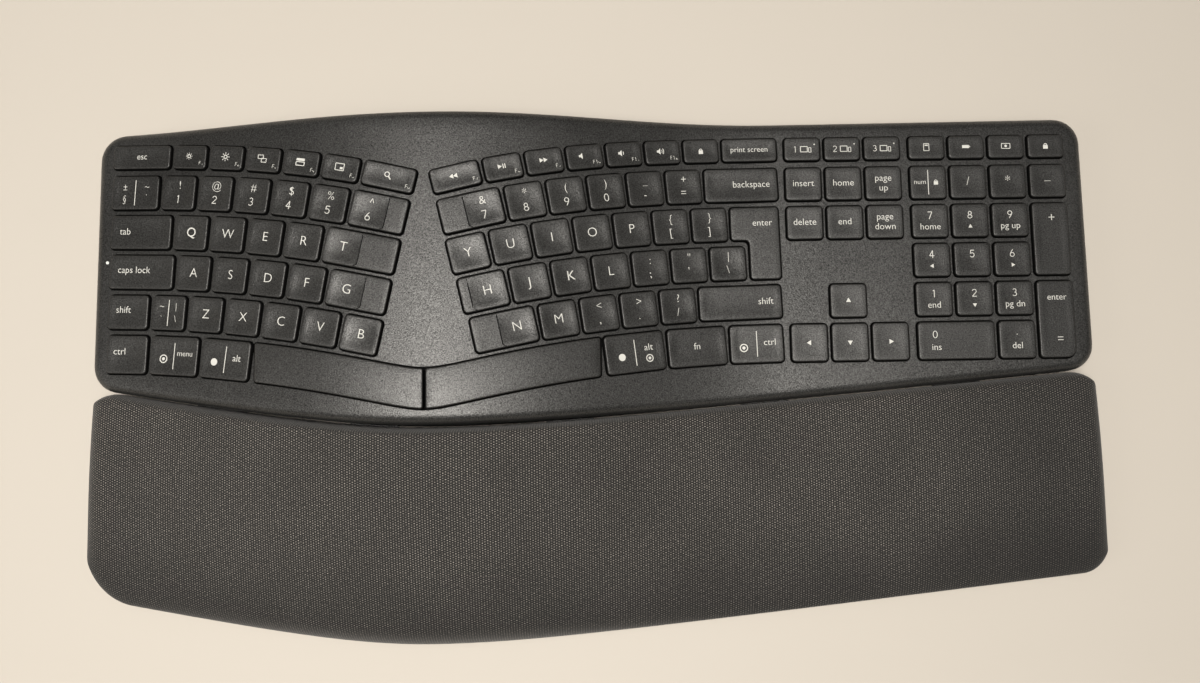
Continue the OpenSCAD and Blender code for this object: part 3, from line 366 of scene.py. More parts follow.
def arc(centre: Point2, r: float, start: float, end: float, steps: int = 8) -> list[Point2]:
    """Points along an arc, both ends included, with angles in radians."""
    angles = [start + (end - start) * i / steps for i in range(steps + 1)]
    return [(centre[0] + r * math.cos(a), centre[1] + r * math.sin(a)) for a in angles]


@dataclass(frozen=True)
class Cell:
    """A key's place: its centre, its cell's size, the frame's tilt and the row's heading there."""

    layout: Layout
    x: float
    y: float
    w: float
    d: float
    slope: float = 0.0
    heading: float = 0.0

    def key_w(self) -> float:
        """Width of the key's foot."""
        return self.w - self.layout.column_web - 2 * self.layout.key_gap

    def key_d(self) -> float:
        """Depth of the key's foot."""
        return self.d - self.layout.web - 2 * self.layout.key_gap

    def place(self, x: float, y: float, z: float) -> Point3:
        """Carries a point of the key's own frame onto the keyboard."""
        along = x * math.cos(self.heading) - y * math.sin(self.heading)
        across = x * math.sin(self.heading) + y * math.cos(self.heading)
        gx = self.x + along * math.cos(self.slope) - z * math.sin(self.slope)
        gz = self.layout.frame_z(self.x) + along * math.sin(self.slope) + z * math.cos(self.slope)
        return gx, self.y + across, gz


@dataclass(frozen=True)
class BarCell:
    """A space bar's place: a stretch of the bottom row that follows the bend and the hump."""

    layout: Layout
    x0: float
    x1: float

    def key_w(self) -> float:
        """Length of the bar's foot along X."""
        return self.x1 - self.x0 - 2 * self.layout.key_gap

    def key_d(self) -> float:
        """Depth of the bar's foot."""
        return self.layout.bottom_cell - self.layout.web - 2 * self.layout.key_gap

    def place(self, x: float, y: float, z: float) -> Point3:
        """Carries a point of the bar's own frame onto the keyboard."""
        gx = (self.x0 + self.x1) / 2 + x
        return gx, self.layout.bar_y(gx) + y, self.layout.frame_z(gx) + z


Place = Union[Cell, BarCell]


@dataclass(frozen=True)
class Outline:
    """A plan shape with round corners that can be drawn in or out, keeping its number of points."""

    corners: tuple[Point2, ...]
    radius: float
    step: float = LOOP_STEP
    arc_steps: int = 5
    radii: tuple[float, ...] = ()

    @staticmethod
    def rectangle(w: float, d: float, radius: float, step: float = LOOP_STEP) -> "Outline":
        """A rectangle about its own centre."""
        x, y = w / 2, d / 2
        return Outline(((-x, -y), (x, -y), (x, y), (-x, y)), radius, step)

    @staticmethod
    def stepped(tall_w: float, tall_d: float, wide_w: float, arm_d: float, radius: float) -> "Outline":
        """The plan of a stepped enter key: a wide arm at the back of a tall one, flush on the right."""
        x, y = tall_w / 2, tall_d / 2
        corners = ((-x, -y), (x, -y), (x, y), (x - wide_w, y), (x - wide_w, y - arm_d), (-x, y - arm_d))
        return Outline(corners, radius)

    def loop(self, inset: float = 0.0) -> list[Point2]:
        """Points of the shape once round, counter-clockwise.

        Args:
            inset: how far the edge is drawn in; negative draws it out.

        Returns:
            As many points for every inset.
        """
        count = len(self.corners)
        arcs = []
        for i, corner in enumerate(self.corners):
            here = Vector(corner)
            before = (here - Vector(self.corners[i - 1])).normalized()
            after = (Vector(self.corners[(i + 1) % count]) - here).normalized()
            in_before = Vector((-before.y, before.x))
            in_after = Vector((-after.y, after.x))
            vertex = here + (in_before + in_after) * (inset / (1 + in_before.dot(in_after)))
            outer = before.x * after.y - before.y * after.x > 0
            radius = self.radii[i] if self.radii else self.radius
            r = max(radius - inset, LEAST_R) if outer else radius + inset
            start = vertex - before * r
            centre = start + (in_before if outer else -in_before) * r
            first = math.atan2(start.y - centre.y, start.x - centre.x)
            turn = math.pi / 2 if outer else -math.pi / 2
            arcs.append(arc((centre.x, centre.y), r, first, first + turn, self.arc_steps))
        points: list[Point2] = []
        for i, bend in enumerate(arcs):
            points += bend
            side = math.dist(self.corners[i], self.corners[(i + 1) % count])
            parts = max(1, int(side / self.step))
            (ax, ay), (bx, by) = bend[-1], arcs[(i + 1) % count][0]
            points += [(ax + (bx - ax) * k / parts, ay + (by - ay) * k / parts) for k in range(1, parts)]
        return points


def inside(point: Point2, polygon: Ring) -> bool:
    """Whether a point lies in a polygon."""
    x, y = point
    hit = False
    for (ax, ay), (bx, by) in zip(polygon, (*polygon[1:], polygon[0])):
        if (ay > y) != (by > y) and x < (bx - ax) * (y - ay) / (by - ay) + ax:
            hit = not hit
    return hit


def fill(loop: Ring, extra: Ring, lines: Sequence[tuple[int, int]] = ()) -> Flat:
    """Fills a closed loop with triangles.

    Args:
        loop: the edge, counter-clockwise.
        extra: points inside that the triangles pass through.
        lines: pairs of point numbers that an edge has to join.

    Returns:
        The points, the loop's first and in order, and the triangles.
    """
    count = len(loop)
    given = [Vector(p) for p in (*loop, *extra)]
    edges = [(i, (i + 1) % count) for i in range(count)] + list(lines)
    points, _, faces, origins, _, _ = delaunay_2d_cdt(given, edges, [], 1, MERGE_MM)
    place: dict[int, int] = {}
    result = [(v.x, v.y) for v in given]
    for k, origin in enumerate(origins):
        if origin:
            place[k] = min(origin)
        else:
            place[k] = len(result)
            result.append((points[k].x, points[k].y))
    return result, [tuple(place[k] for k in face) for face in faces]


def boxed(rings: Sequence[Ring], clear: float = 0.0) -> list[Box]:
    """Each ring after the box round it: its left and right, then its front and back."""
    found = []
    for ring in rings:
        xs, ys = [p[0] for p in ring], [p[1] for p in ring]
        found.append(((min(xs) - clear, max(xs) + clear), (min(ys) - clear, max(ys) + clear), ring))
    return found


def about(point: Point2, boxes: Sequence[Box]) -> list[Ring]:
    """The rings whose boxes hold a point."""
    x, y = point
    return [ring for (x0, x1), (y0, y1), ring in boxes if x0 < x < x1 and y0 < y < y1]


def placed(name: str, data: bpy.types.ID) -> Piece:
    """Puts new data into the scene as an object."""
    item = bpy.data.objects.new(name, data)
    bpy.context.scene.collection.objects.link(item)
    return item


def plain_mesh(item: Piece) -> bpy.types.Mesh:
    """The mesh that an object comes to in the end."""
    bpy.context.view_layer.update()
    return bpy.data.meshes.new_from_object(item.evaluated_get(bpy.context.evaluated_depsgraph_get()))


class Draft:
    """Points and faces of one piece while it is drawn, with a material number for each face."""

    def __init__(self, layout: Layout) -> None:
        """Starts an empty draft on a layout."""
        self.layout = layout
        self.points: list[Vector] = []
        self.faces: list[Face] = []
        self.slots: list[int] = []

    def add(self, points: Sequence[Point3]) -> list[int]:
        """Adds points and returns their numbers."""
        start = len(self.points)
        self.points += [self.layout.world(p) for p in points]
        return list(range(start, len(self.points)))

    def ring(self, place: Place, plan: Ring, z: float) -> list[int]:
        """Adds a plan's points at one height over a key's place and returns their numbers."""
        return self.add([place.place(x, y, z) for x, y in plan])

    def face(self, corners: Sequence[int], slot: int = PLASTIC) -> None:
        """Adds one face."""
        self.faces.append(tuple(corners))
        self.slots.append(slot)

    def bridge(self, lower: Sequence[int], upper: Sequence[int], slot: int = PLASTIC) -> None:
        """Joins two loops of as many points with quads that face away from their inside."""
        for k in range(len(lower)):
            n = (k + 1) % len(lower)
            self.face((lower[k], lower[n], upper[n], upper[k]), slot)

    def layer(self, upper: Sequence[int], lower: Sequence[int], faces: Sequence[Face], slot: int) -> None:
        """Adds a thin closed layer between two sheets of as many points.

        Args:
            upper: point numbers of the upper sheet.
            lower: point numbers of the lower sheet.
            faces: the sheets' faces, counter-clockwise from above.
            slot: the material number.
        """
        edges = {(a, b) for f in faces for a, b in zip(f, (*f[1:], f[0]))}
        for f in faces:
            self.face([upper[k] for k in f], slot)
            self.face([lower[k] for k in reversed(f)], slot)
        for a, b in sorted(edges):
            if (b, a) not in edges:
                self.face((lower[a], lower[b], upper[b], upper[a]), slot)

    def build(self, name: str, finishes: Sequence[Material], sharp: float) -> Piece:
        """Makes the piece.

        Args:
            name: the piece's name.
            finishes: its materials, in the order of the faces' material numbers.
            sharp: edges sharper than this angle, in degrees, stay crisp.

        Returns:
            The object, linked to the scene.
        """
        mesh = bpy.data.meshes.new(name)
        mesh.from_pydata([tuple(p) for p in self.points], [], self.faces)
        for finish in finishes:
            mesh.materials.append(finish)
        mesh.polygons.foreach_set("material_index", self.slots)
        mesh.polygons.foreach_set("use_smooth", [True] * len(mesh.polygons))
        mesh.update()
        mesh.set_sharp_from_angle(angle=math.radians(sharp))
        return placed(name, mesh)


@dataclass(frozen=True)
class Mark:
    """One printed sign on a key: words or an icon, measured from the key's middle or an edge."""

    sign: Union[str, Icon]
    x: float = 0.0
    y: float = 0.0
    size: float = 3.6
    align: Align = Align.CENTRE


class IconPen:
    """Draws small signs as flat polygons in a square of side 1 about the origin."""

    def __init__(self) -> None:
        """Starts with an empty sheet."""
        self.polygons: list[list[Point2]] = []

    def line(self, a: Point2, b: Point2, w: float = STROKE) -> None:
        """A straight stroke."""
        run = Vector(b) - Vector(a)
        side = Vector((-run.y, run.x)).normalized() * (w / 2)
        start, end = Vector(a), Vector(b)
        self.polygons.append([tuple(p) for p in (start - side, end - side, end + side, start + side)])

    def path(self, points: Ring, closed: bool = False, w: float = STROKE) -> None:
        """Straight strokes from point to point."""
        ends = (*points[1:], points[0]) if closed else points[1:]
        for a, b in zip(points, ends):
            self.line(a, b, w)

    def disc(self, centre: Point2, r: float) -> None:
        """A filled circle."""
        self.polygons.append(arc(centre, r, 0, 2 * math.pi, ROUND_STEPS)[:-1])

    def ring(
        self, centre: Point2, r: float, w: float = STROKE, start: float = 0.0, end: float = 360.0
    ) -> None:
        """A circle's outline, or part of it, with angles in degrees."""
        a, b = math.radians(start), math.radians(end)
        outer, inner = (arc(centre, r + off, a, b, ROUND_STEPS) for off in (w / 2, -w / 2))
        for k in range(ROUND_STEPS):
            self.polygons.append([inner[k], outer[k], outer[k + 1], inner[k + 1]])

    def box(self, x0: float, y0: float, x1: float, y1: float, w: float = 0.0) -> None:
        """A rectangle: filled, or an outline of a given stroke."""
        corners = [(x0, y0), (x1, y0), (x1, y1), (x0, y1)]
        if w:
            self.path(corners, True, w)
        else:
            self.polygons.append(corners)

    def arrow(self, x: float, r: float, turn: float) -> None:
        """A solid triangle that points along an angle in degrees."""
        spin = math.radians(turn)
        ends = (spin, spin + 2.1, spin - 2.1)
        self.polygons.append([(x + r * math.cos(a), r * math.sin(a)) for a in ends])

    def speaker(self, waves: int) -> None:
        """A loudspeaker with a number of waves."""
        self.polygons.append([(-0.5, -0.13), (-0.32, -0.13), (-0.32, 0.13), (-0.5, 0.13)])
        self.polygons.append([(-0.32, -0.13), (-0.08, -0.36), (-0.08, 0.36), (-0.32, 0.13)])
        for k in range(waves):
            self.ring((-0.1, 0.0), 0.24 + 0.2 * k, 0.08, -45, 45)

    def sun(self, r: float, reach: float) -> None:
        """A disc outline with eight rays."""
        self.ring((0, 0), r, 0.1)
        for k in range(8):
            a = math.pi * k / 4
            near, far = r + 0.12, r + 0.12 + reach
            self.line((near * math.cos(a), near * math.sin(a)), (far * math.cos(a), far * math.sin(a)), 0.08)

    def label(self, text: str, align: Align) -> list[list[Point2]]:
        """Sets a number, with an F before it or not, in strokes of even height."""
        advance, height, weight = 0.5, 0.7, 0.064
        width = advance * len(text)
        start = {Align.LEFT: 0.0, Align.CENTRE: -width / 2, Align.RIGHT: -width}[align]
        for k, sign in enumerate(text):
            middle = start + advance * (k + 0.5)
            for stroke in NUMERALS[sign]:
                self.path([(middle + height * x, height * y) for x, y in stroke], False, weight)
        return self.polygons

    def draw(self, icon: Icon) -> list[list[Point2]]:
        """Draws one sign and returns its polygons."""
        for stroke, *sizes in ICONS[icon]:
            getattr(self, stroke)(*sizes)
        return self.polygons


def bow(x: float, y: float, rx: float, ry: float, start: float, end: float) -> list[Point2]:
    """Points along part of an ellipse, with angles in degrees."""
    angles = [math.radians(start + (end - start) * i / 14) for i in range(15)]
    return [(x + rx * math.cos(a), y + ry * math.sin(a)) for a in angles]


ICONS: dict[Icon, tuple[tuple[object, ...], ...]] = {
    Icon.SUN_LOW: (("sun", 0.18, 0.1),),
    Icon.SUN_HIGH: (("sun", 0.2, 0.2),),
    Icon.SEARCH: (("ring", (-0.08, 0.1), 0.26), ("line", (0.12, -0.1), (0.4, -0.4), 0.13)),
    Icon.BACK: (("arrow", -0.24, 0.3, 180), ("arrow", 0.22, 0.3, 180)),
    Icon.FORWARD: (("arrow", -0.22, 0.3, 0), ("arrow", 0.24, 0.3, 0)),
    Icon.PLAY: (("arrow", -0.25, 0.3, 0), ("box", 0.14, -0.26, 0.24, 0.26), ("box", 0.36, -0.26, 0.46, 0.26)),
    Icon.WINDOWS: (("box", -0.55, -0.02, 0.1, 0.4, 0.08), ("box", -0.1, -0.4, 0.5, 0.02, 0.08)),
    Icon.LIST: (("box", -0.5, 0.12, 0.5, 0.4), ("box", -0.5, -0.4, 0.5, 0.0, 0.09)),
    Icon.DESKTOP: (("box", -0.5, -0.38, 0.5, 0.38, 0.08), ("box", 0.05, -0.25, 0.38, 0.0)),
    Icon.MUTE: (("speaker", 0),),
    Icon.QUIETER: (("speaker", 1),),
    Icon.LOUDER: (("speaker", 2),),
    Icon.LOCK: (("box", -0.3, -0.42, 0.3, 0.08), ("ring", (0, 0.08), 0.18, 0.09, 0, 180)),
    Icon.DEVICES: (("box", -0.55, -0.3, 0.2, 0.3, 0.08), ("box", 0.34, -0.34, 0.6, 0.16, 0.07)),
    Icon.SUMS: (("box", -0.34, -0.46, 0.34, 0.46, 0.08), ("box", -0.2, 0.16, 0.2, 0.32)),
    Icon.CELL: (("box", -0.5, -0.2, 0.38, 0.2), ("box", 0.42, -0.1, 0.52, 0.1)),
    Icon.SNAP: (("box", -0.55, -0.3, 0.55, 0.34, 0.08), ("disc", (0, 0.02), 0.17)),
    Icon.UP: (("arrow", 0, 0.5, 90),),
    Icon.DOWN: (("arrow", 0, 0.5, 270),),
    Icon.POINT_LEFT: (("arrow", 0, 0.5, 180),),
    Icon.POINT_RIGHT: (("arrow", 0, 0.5, 0),),
    Icon.DIVIDER: (("line", (0, -0.5), (0, 0.5), 0.03),),
    Icon.DOT: (("disc", (0, 0), 0.5),),
    Icon.RING: (("ring", (0, 0), 0.42, 0.12), ("disc", (0, 0), 0.18)),
}

LEFT_ICONS = (Icon.SUN_LOW, Icon.SUN_HIGH, Icon.WINDOWS, Icon.LIST, Icon.DESKTOP, Icon.SEARCH)
RIGHT_ICONS = (Icon.LOUDER, Icon.QUIETER, Icon.MUTE, Icon.FORWARD, Icon.PLAY, Icon.BACK)

NUMERALS: dict[str, list[list[Point2]]] = {
    "0": [bow(0, 0, 0.27, 0.45, 0, 360)],
    "1": [[(-0.14, 0.32), (0.04, 0.45), (0.04, -0.5)]],
    "2": [bow(0, 0.2, 0.26, 0.25, 165, -25) + [(-0.26, -0.45), (0.3, -0.45)]],
    "3": [bow(-0.02, 0.22, 0.22, 0.23, 150, -90), bow(-0.02, -0.22, 0.27, 0.23, 90, -150)],
    "4": [[(0.1, 0.47), (-0.3, -0.2), (0.32, -0.2)], [(0.1, 0.47), (0.1, -0.5)]],
    "5": [[(0.26, 0.45), (-0.18, 0.45), (-0.22, 0.04)] + bow(-0.01, -0.17, 0.28, 0.28, 135, -150)],
    "6": [bow(0, -0.19, 0.27, 0.26, 0, 360), [(-0.26, -0.12), (-0.14, 0.16), (0.1, 0.5)]],
    "7": [[(-0.28, 0.45), (0.28, 0.45), (-0.1, -0.5)]],
    "8": [bow(0, 0.23, 0.21, 0.22, 0, 360), bow(0, -0.22, 0.27, 0.23, 0, 360)],
    "9": [bow(0, 0.19, 0.27, 0.26, 0, 360), [(0.26, 0.12), (0.14, -0.16), (-0.1, -0.5)]],
    "F": [[(-0.2, -0.5), (-0.2, 0.45), (0.24, 0.45)], [(-0.2, 0.02), (0.18, 0.02)]],
}


def sound(faces: Sequence[Sequence[int]]) -> bool:
    """Whether a flat sheet never laps over itself and its outline never touches itself."""
    sides = Counter(side for face in faces for side in zip(face, (*face[1:], face[0])))
    starts = Counter(a for a, b in sides if (b, a) not in sides)
    return max(sides.values(), default=1) == 1 and max(starts.values(), default=1) == 1


class Printer:
    """Turns printed signs into flat polygons, keeping each word once it is cut."""

    def __init__(self) -> None:
        """Starts with no words cut."""
        self.words: dict[tuple[str, Align], Flat] = {}

    def cut(self, mark: Mark) -> Flat:
        """Flat points and faces of a sign at size 1 about its own anchor."""
        number = isinstance(mark.sign, str) and mark.sign.strip("F").isdigit()
        if number or isinstance(mark.sign, Icon):
            points: list[Point2] = []
            faces: list[Face] = []
            pen = IconPen()
            for polygon in pen.label(mark.sign, mark.align) if number else pen.draw(mark.sign):
                faces.append(tuple(range(len(points), len(points) + len(polygon))))
                points += polygon
            return points, faces
        key = (mark.sign, mark.align)
        if key not in self.words:
            self.words[key] = self.cut_word(mark.sign, mark.align)
        return self.words[key]

    def cut_word(self, text: str, align: Align) -> Flat:
        """Sets a word or a single sign, thinned as far as its outline stays whole."""
        for thin in SIGN_THIN if len(text) == 1 else WORD_THIN:
            points, faces = self.set_word(text, align, thin)
            if sound(faces):
                break
        return points, faces

    def set_word(self, text: str, align: Align, thin: float) -> Flat:
        """Sets a word in the plain built-in face and takes its filled outline.

        Args:
            text: the word.
            align: which end of it the anchor is.
            thin: how far the outline is drawn in, as a share of the size.

        Returns:
            Flat points and faces at size 1.
        """
        curve = bpy.data.curves.new("word", "FONT")
        curve.body = text
        curve.size = 1.0
        curve.resolution_u = 3
        curve.offset = -thin
        curve.align_x = align.value
        curve.align_y = "CENTER"
        curve.fill_mode = "FRONT"
        setting = placed("word", curve)
        mesh = plain_mesh(setting)
        points = [(v.co.x, v.co.y) for v in mesh.vertices]
        faces = [tuple(p.vertices if p.normal.z > 0 else reversed(p.vertices)) for p in mesh.polygons]
        bpy.data.objects.remove(setting)
        bpy.data.curves.remove(curve)
        bpy.data.meshes.remove(mesh)
        return points, faces


@dataclass(frozen=True)
class Dish:
    """The hollow in a key's top: round in plan on a square key, a trough on a long one."""

    x: float
    half_x: float
    half_y: float
    depth: float
    trough: bool = False

    def at(self, x: float, y: float) -> float:
        """Depth of the hollow at a place of the top."""
        u, v = (x - self.x) / self.half_x, y / self.half_y
        if abs(u) >= 1 or abs(v) >= 1:
            return 0.0
        along = 1 - u**8 if self.trough else 1 - u * u
        return self.depth * along * (1 - v * v)


@dataclass(frozen=True)
class KeyCap:
    """One key: its place, plan, hollow and printed signs."""

    place: Place
    outline: Outline
    dish: Dish
    marks: tuple[Mark, ...] = ()
    step_x: Optional[float] = None
    middle_x: float = 0.0
    bar: bool = False


@dataclass
class CapForge:
    """Shapes key caps: a drafted skirt, a rounded edge and a hollow top, with signs printed on it."""

    foot_z: float = -1.7
    skirt_lean: float = 0.02
    bar_wall: float = 1.0
    bar_roof_z: float = 0.25
    top_z: float = 1.56
    draft: float = 0.18
    edge: float = 0.55
    grid: float = 1.9
    grid_margin: float = 0.45
    ink_lift: float = 0.035
    corner_r: float = 1.8
    dish_depth: float = 0.75
    long_from: float = 1.25
    trough_share: float = 0.6
    step_h: float = 0.26
    step_run: float = 0.1
    # The line of painted shade at each wing's step: its width, inset, steps along it and turns round the
    # corner.
    shade_line_w: float = 0.4
    shade_line_inset: float = 0.6
    shade_line_steps: int = 8
    shade_line_turns: tuple[int, ...] = (16, 32, 48, 64, 80)
    homing_plan: Point3 = (4.2, 0.8, 0.35)
    homing_front: float = 3.2
    homing_rings: tuple[Point2, ...] = ((0.0, -0.1), (0.05, 0.22), (0.2, 0.34))
    printer: Printer = field(default_factory=Printer)

    def square(self, cell: Cell, marks: Sequence[Mark], bar: bool = False) -> KeyCap:
        """A key as wide as its cell, with a round hollow if it is near square and a trough if long."""
        w, d = cell.key_w(), cell.key_d()
        inset = self.draft + self.edge
        long = w > self.long_from * d or d > self.long_from * w
        depth = self.dish_depth * (self.trough_share if long else 1.0)
        dish = Dish(0, w / 2 - inset, d / 2 - inset, depth, long)
        return KeyCap(cell, Outline.rectangle(w, d, self.corner_r), dish, tuple(marks), bar=bar)

    def stepped(self, cell: Cell, marks: Sequence[Mark], side: Side, bar: bool = False) -> KeyCap:
        """A key with a hollow part as wide as a letter key and a flat wing towards the ridge."""
        w, d = cell.key_w(), cell.key_d()
        inset = self.draft + self.edge
        main = cell.layout.key_pitch - cell.layout.column_web - 2 * cell.layout.key_gap
        middle = -side.value * (w - main) / 2
        half = main / 2 - inset / 2
        step = middle + side.value * half
        dish = Dish(middle, half, d / 2 - inset, self.dish_depth)
        outline = Outline.rectangle(w, d, self.corner_r)
        return KeyCap(cell, outline, dish, tuple(marks), step, middle, bar)

    def top(self, cap: KeyCap, x: float, y: float) -> float:
        """Height of a cap's top at a place."""
        return self.top_z - cap.dish.at(x, y) - self.drop(cap, x, y)

    def drop(self, cap: KeyCap, x: float, y: float) -> float:
        """How far a stepped key's hollow part lies under its wing, most at the step itself."""
        if cap.step_x is None:
            return 0.0
        side = 1 if cap.step_x > cap.middle_x else -1
        if (cap.step_x - x) * side < self.step_run / 2:
            return 0.0
        near = max(0.0, 1 + side * (x - cap.dish.x) / cap.dish.half_x) / 2
        share = min(1.0, abs(y) / cap.dish.half_y)
        return self.step_h * near**2 * (1 - share**8)

    def forge(self, draft: Draft, cap: KeyCap) -> None:
        """Draws one cap with its signs.

        Args:
            draft: the bank that the cap belongs to.
            cap: the key.
        """
        rings = [(0.0, self.foot_z), (self.skirt_lean, 0.0), (self.draft, self.top_z - self.edge)]
        for turn in EDGE_TURNS:
            a = math.radians(turn)
            inset = self.draft + self.edge * (1 - math.cos(a))
            rings.append((inset, self.top_z - self.edge * (1 - math.sin(a))))
        loops = [draft.ring(cap.place, cap.outline.loop(inset), z) for inset, z in rings]
        # The skirt up to the rounded edge and the foot wear near-black painted shade; the rounded edge and
        # the top are plastic.
        for k, (lower, upper) in enumerate(zip(loops, loops[1:])):
            draft.bridge(lower, upper, PAINTED_SHADE if k < 2 else PLASTIC)
        if isinstance(cap.place, BarCell):
            self.hollow(draft, cap, loops[0])
        else:
            draft.face(tuple(reversed(loops[0])), PAINTED_SHADE)
        rim = cap.outline.loop(rings[-1][0])
        points, faces = fill(rim, *self.top_grid(rim, cap))
        inner = [cap.place.place(x, y, self.top(cap, x, y)) for x, y in points[len(rim):]]
        numbers = loops[-1] + draft.add(inner)
        for face in faces:
            draft.face([numbers[k] for k in face])
        for mark in cap.marks:
            self.print_mark(draft, cap, mark)
        if cap.step_x is not None:
            self.shade_line(draft, cap)
        if cap.bar:
            self.homing_bar(draft, cap)

    def hollow(self, draft: Draft, cap: KeyCap, foot: Sequence[int]) -> None:
        """Leaves a bar open underneath, because the sleeves round its posts reach up into it.

        Args:
            draft: the bar's own bank.
            cap: the bar.
            foot: point numbers of the skirt's lower edge.
        """
        plan = cap.outline.loop(self.bar_wall)
        low, high = (draft.ring(cap.place, plan, z) for z in (self.foot_z, self.bar_roof_z))
        # The hollow's walls and roof wear near-black painted shade.
        draft.bridge(low, foot, PAINTED_SHADE)
        draft.bridge(high, low, PAINTED_SHADE)
        points, faces = fill(plan, *self.top_grid(plan, cap))
        numbers = high + draft.ring(cap.place, points[len(plan):], self.bar_roof_z)
        for face in faces:
            draft.face([numbers[k] for k in reversed(face)], PAINTED_SHADE)

    def top_grid(self, rim: Ring, cap: KeyCap) -> tuple[list[Point2], list[tuple[int, int]]]:
        """Points that carry the hollow inside a cap's rim, and the crease of its step."""
        xs = [p[0] for p in rim]
        ys = [p[1] for p in rim]
        margin = self.grid * self.grid_margin
        drawn = cap.outline.loop(self.draft + self.edge + margin)
        columns = max(2, round((max(xs) - min(xs)) / self.grid))
        rows = max(2, round((max(ys) - min(ys)) / self.grid))
        points = []
        for i in range(1, columns):
            for j in range(1, rows):
                x = min(xs) + (max(xs) - min(xs)) * i / columns
                y = min(ys) + (max(ys) - min(ys)) * j / rows
                near_step = cap.step_x is not None and abs(x - cap.step_x) < margin + self.step_run
                if not near_step and inside((x, y), drawn):
                    points.append((x, y))
        lines = []
        if cap.step_x is not None:
            side = 1 if cap.step_x > cap.middle_x else -1
            reach = max(ys) - margin * 0.5
            for x in (cap.step_x, cap.step_x - side * self.step_run):
                start = len(rim) + len(points)
                points += [(x, -reach + 2 * reach * k / rows) for k in range(rows + 1)]
                lines += [(start + k, start + k + 1) for k in range(rows)]
        return points, lines

    def print_mark(self, draft: Draft, cap: KeyCap, mark: Mark) -> None:
        """Lays one sign on a cap's top."""
        half = cap.place.key_w() / 2
        anchor = {Align.LEFT: -half, Align.CENTRE: cap.middle_x, Align.RIGHT: half}[mark.align]
        points, faces = self.printer.cut(mark)
        spots = [(anchor + mark.x + px * mark.size, mark.y + py * mark.size) for px, py in points]
        self.lay(draft, cap, spots, faces, INK)

    def lay(self, draft: Draft, cap: KeyCap, spots: Ring, faces: Sequence[Face], slot: int) -> None:
        """Lays a flat shape on a cap's top as a thin closed layer.

        Args:
            draft: the bank that the cap belongs to.
            cap: the key.
            spots: the shape's points over the key.
            faces: its faces.
            slot: the material number.
        """
        sheets = []
        for lift in (self.ink_lift, -self.ink_lift):
            sheets.append(draft.add([cap.place.place(x, y, self.top(cap, x, y) + lift) for x, y in spots]))
        draft.layer(sheets[0], sheets[1], faces, slot)

    def shade_line(self, draft: Draft, cap: KeyCap) -> None:
        """Draws a line of near-black painted shade at the foot of a wing's step, turned in round the front
        corner.
        """
        side = 1 if cap.step_x > cap.middle_x else -1
        reach = cap.place.key_d() / 2 - self.draft - self.edge * self.shade_line_inset
        x = cap.step_x - side * (self.step_run + self.shade_line_w / 2)
        r = self.corner_r
        steps = self.shade_line_steps
        path = [(x, reach - 2 * (reach - r / 2) * k / steps) for k in range(steps + 1)]
        for turn in self.shade_line_turns:
            a = math.radians(turn)
            path.append((x - side * r * (1 - math.cos(a)), -reach + r * (1 - math.sin(a))))
        spots: list[Point2] = []
        for k, here in enumerate(path):
            run = Vector(path[min(k + 1, len(path) - 1)]) - Vector(path[max(k - 1, 0)])
            off = Vector((run.y, -run.x)).normalized() * (self.shade_line_w / 2)
            spots += [(here[0] + off.x, here[1] + off.y), (here[0] - off.x, here[1] - off.y)]
        faces = [(2 * k + 3, 2 * k + 1, 2 * k, 2 * k + 2) for k in range(len(path) - 1)]
        self.lay(draft, cap, spots, faces, PAINTED_SHADE)

    def homing_bar(self, draft: Draft, cap: KeyCap) -> None:
        """Raises the small bar that a finger finds, near the front of a cap."""
        plan = Outline.rectangle(*self.homing_plan)
        y0 = -cap.place.key_d() / 2 + self.homing_front
        base = self.top(cap, cap.middle_x, y0)
        loops = []
        for inset, z in self.homing_rings:
            ring = [(x + cap.middle_x, y + y0) for x, y in plan.loop(inset)]
            loops.append(draft.ring(cap.place, ring, base + z))
        for lower, upper in zip(loops, loops[1:]):
            draft.bridge(lower, upper)
        draft.face(tuple(reversed(loops[0])))
        draft.face(loops[-1])


def letters(signs: str) -> list[list[Mark]]:
    """One sign in the middle of each key of a run."""
    return [[Mark(sign, 0.0, 0.2, 5.9)] for sign in signs]


def pairs(signs: str) -> list[list[Mark]]:
    """A shifted sign over a plain one on each key of a run, given as pairs with spaces between."""
    return [[Mark(upper, 0.3, 3.4, 5.0), Mark(lower, -0.2, -2.7, 5.2)] for upper, lower in signs.split()]


def action(icon: Icon, number: int) -> list[Mark]:
    """A function key's icon and its small number."""
    return [Mark(icon, -0.6, 0.5, 3.9), Mark(f"F{number}", -1.2, -2.6, 2.5, Align.RIGHT)]


def word(
    text: str, align: Align = Align.LEFT, x: float = 3.0, y: float = 0.3, size: float = 4.3
) -> list[Mark]:
    """A word set from one edge of a key or in its middle."""
    inset = {Align.LEFT: x, Align.CENTRE: 0.0, Align.RIGHT: -x}[align]
    return [Mark(text, inset, y, size, align)]


def split(left: Sequence[Mark], right: Sequence[Mark]) -> list[Mark]:
    """Signs on both sides of a printed divider."""
    return [*left, Mark(Icon.DIVIDER, 0.0, 0.0, 11.5), *right]


def digit(number: str, below: Union[str, Icon, None]) -> list[Mark]:
    """A number pad's digit with its second meaning under it."""
    marks = [Mark(number, 0.0, 2.6, 5.0)]
    if isinstance(below, Icon):
        marks.append(Mark(below, 0.0, -2.8, 2.2))
    elif below:
        marks.append(Mark(below, 0.0, -2.7, 4.2))
    return marks


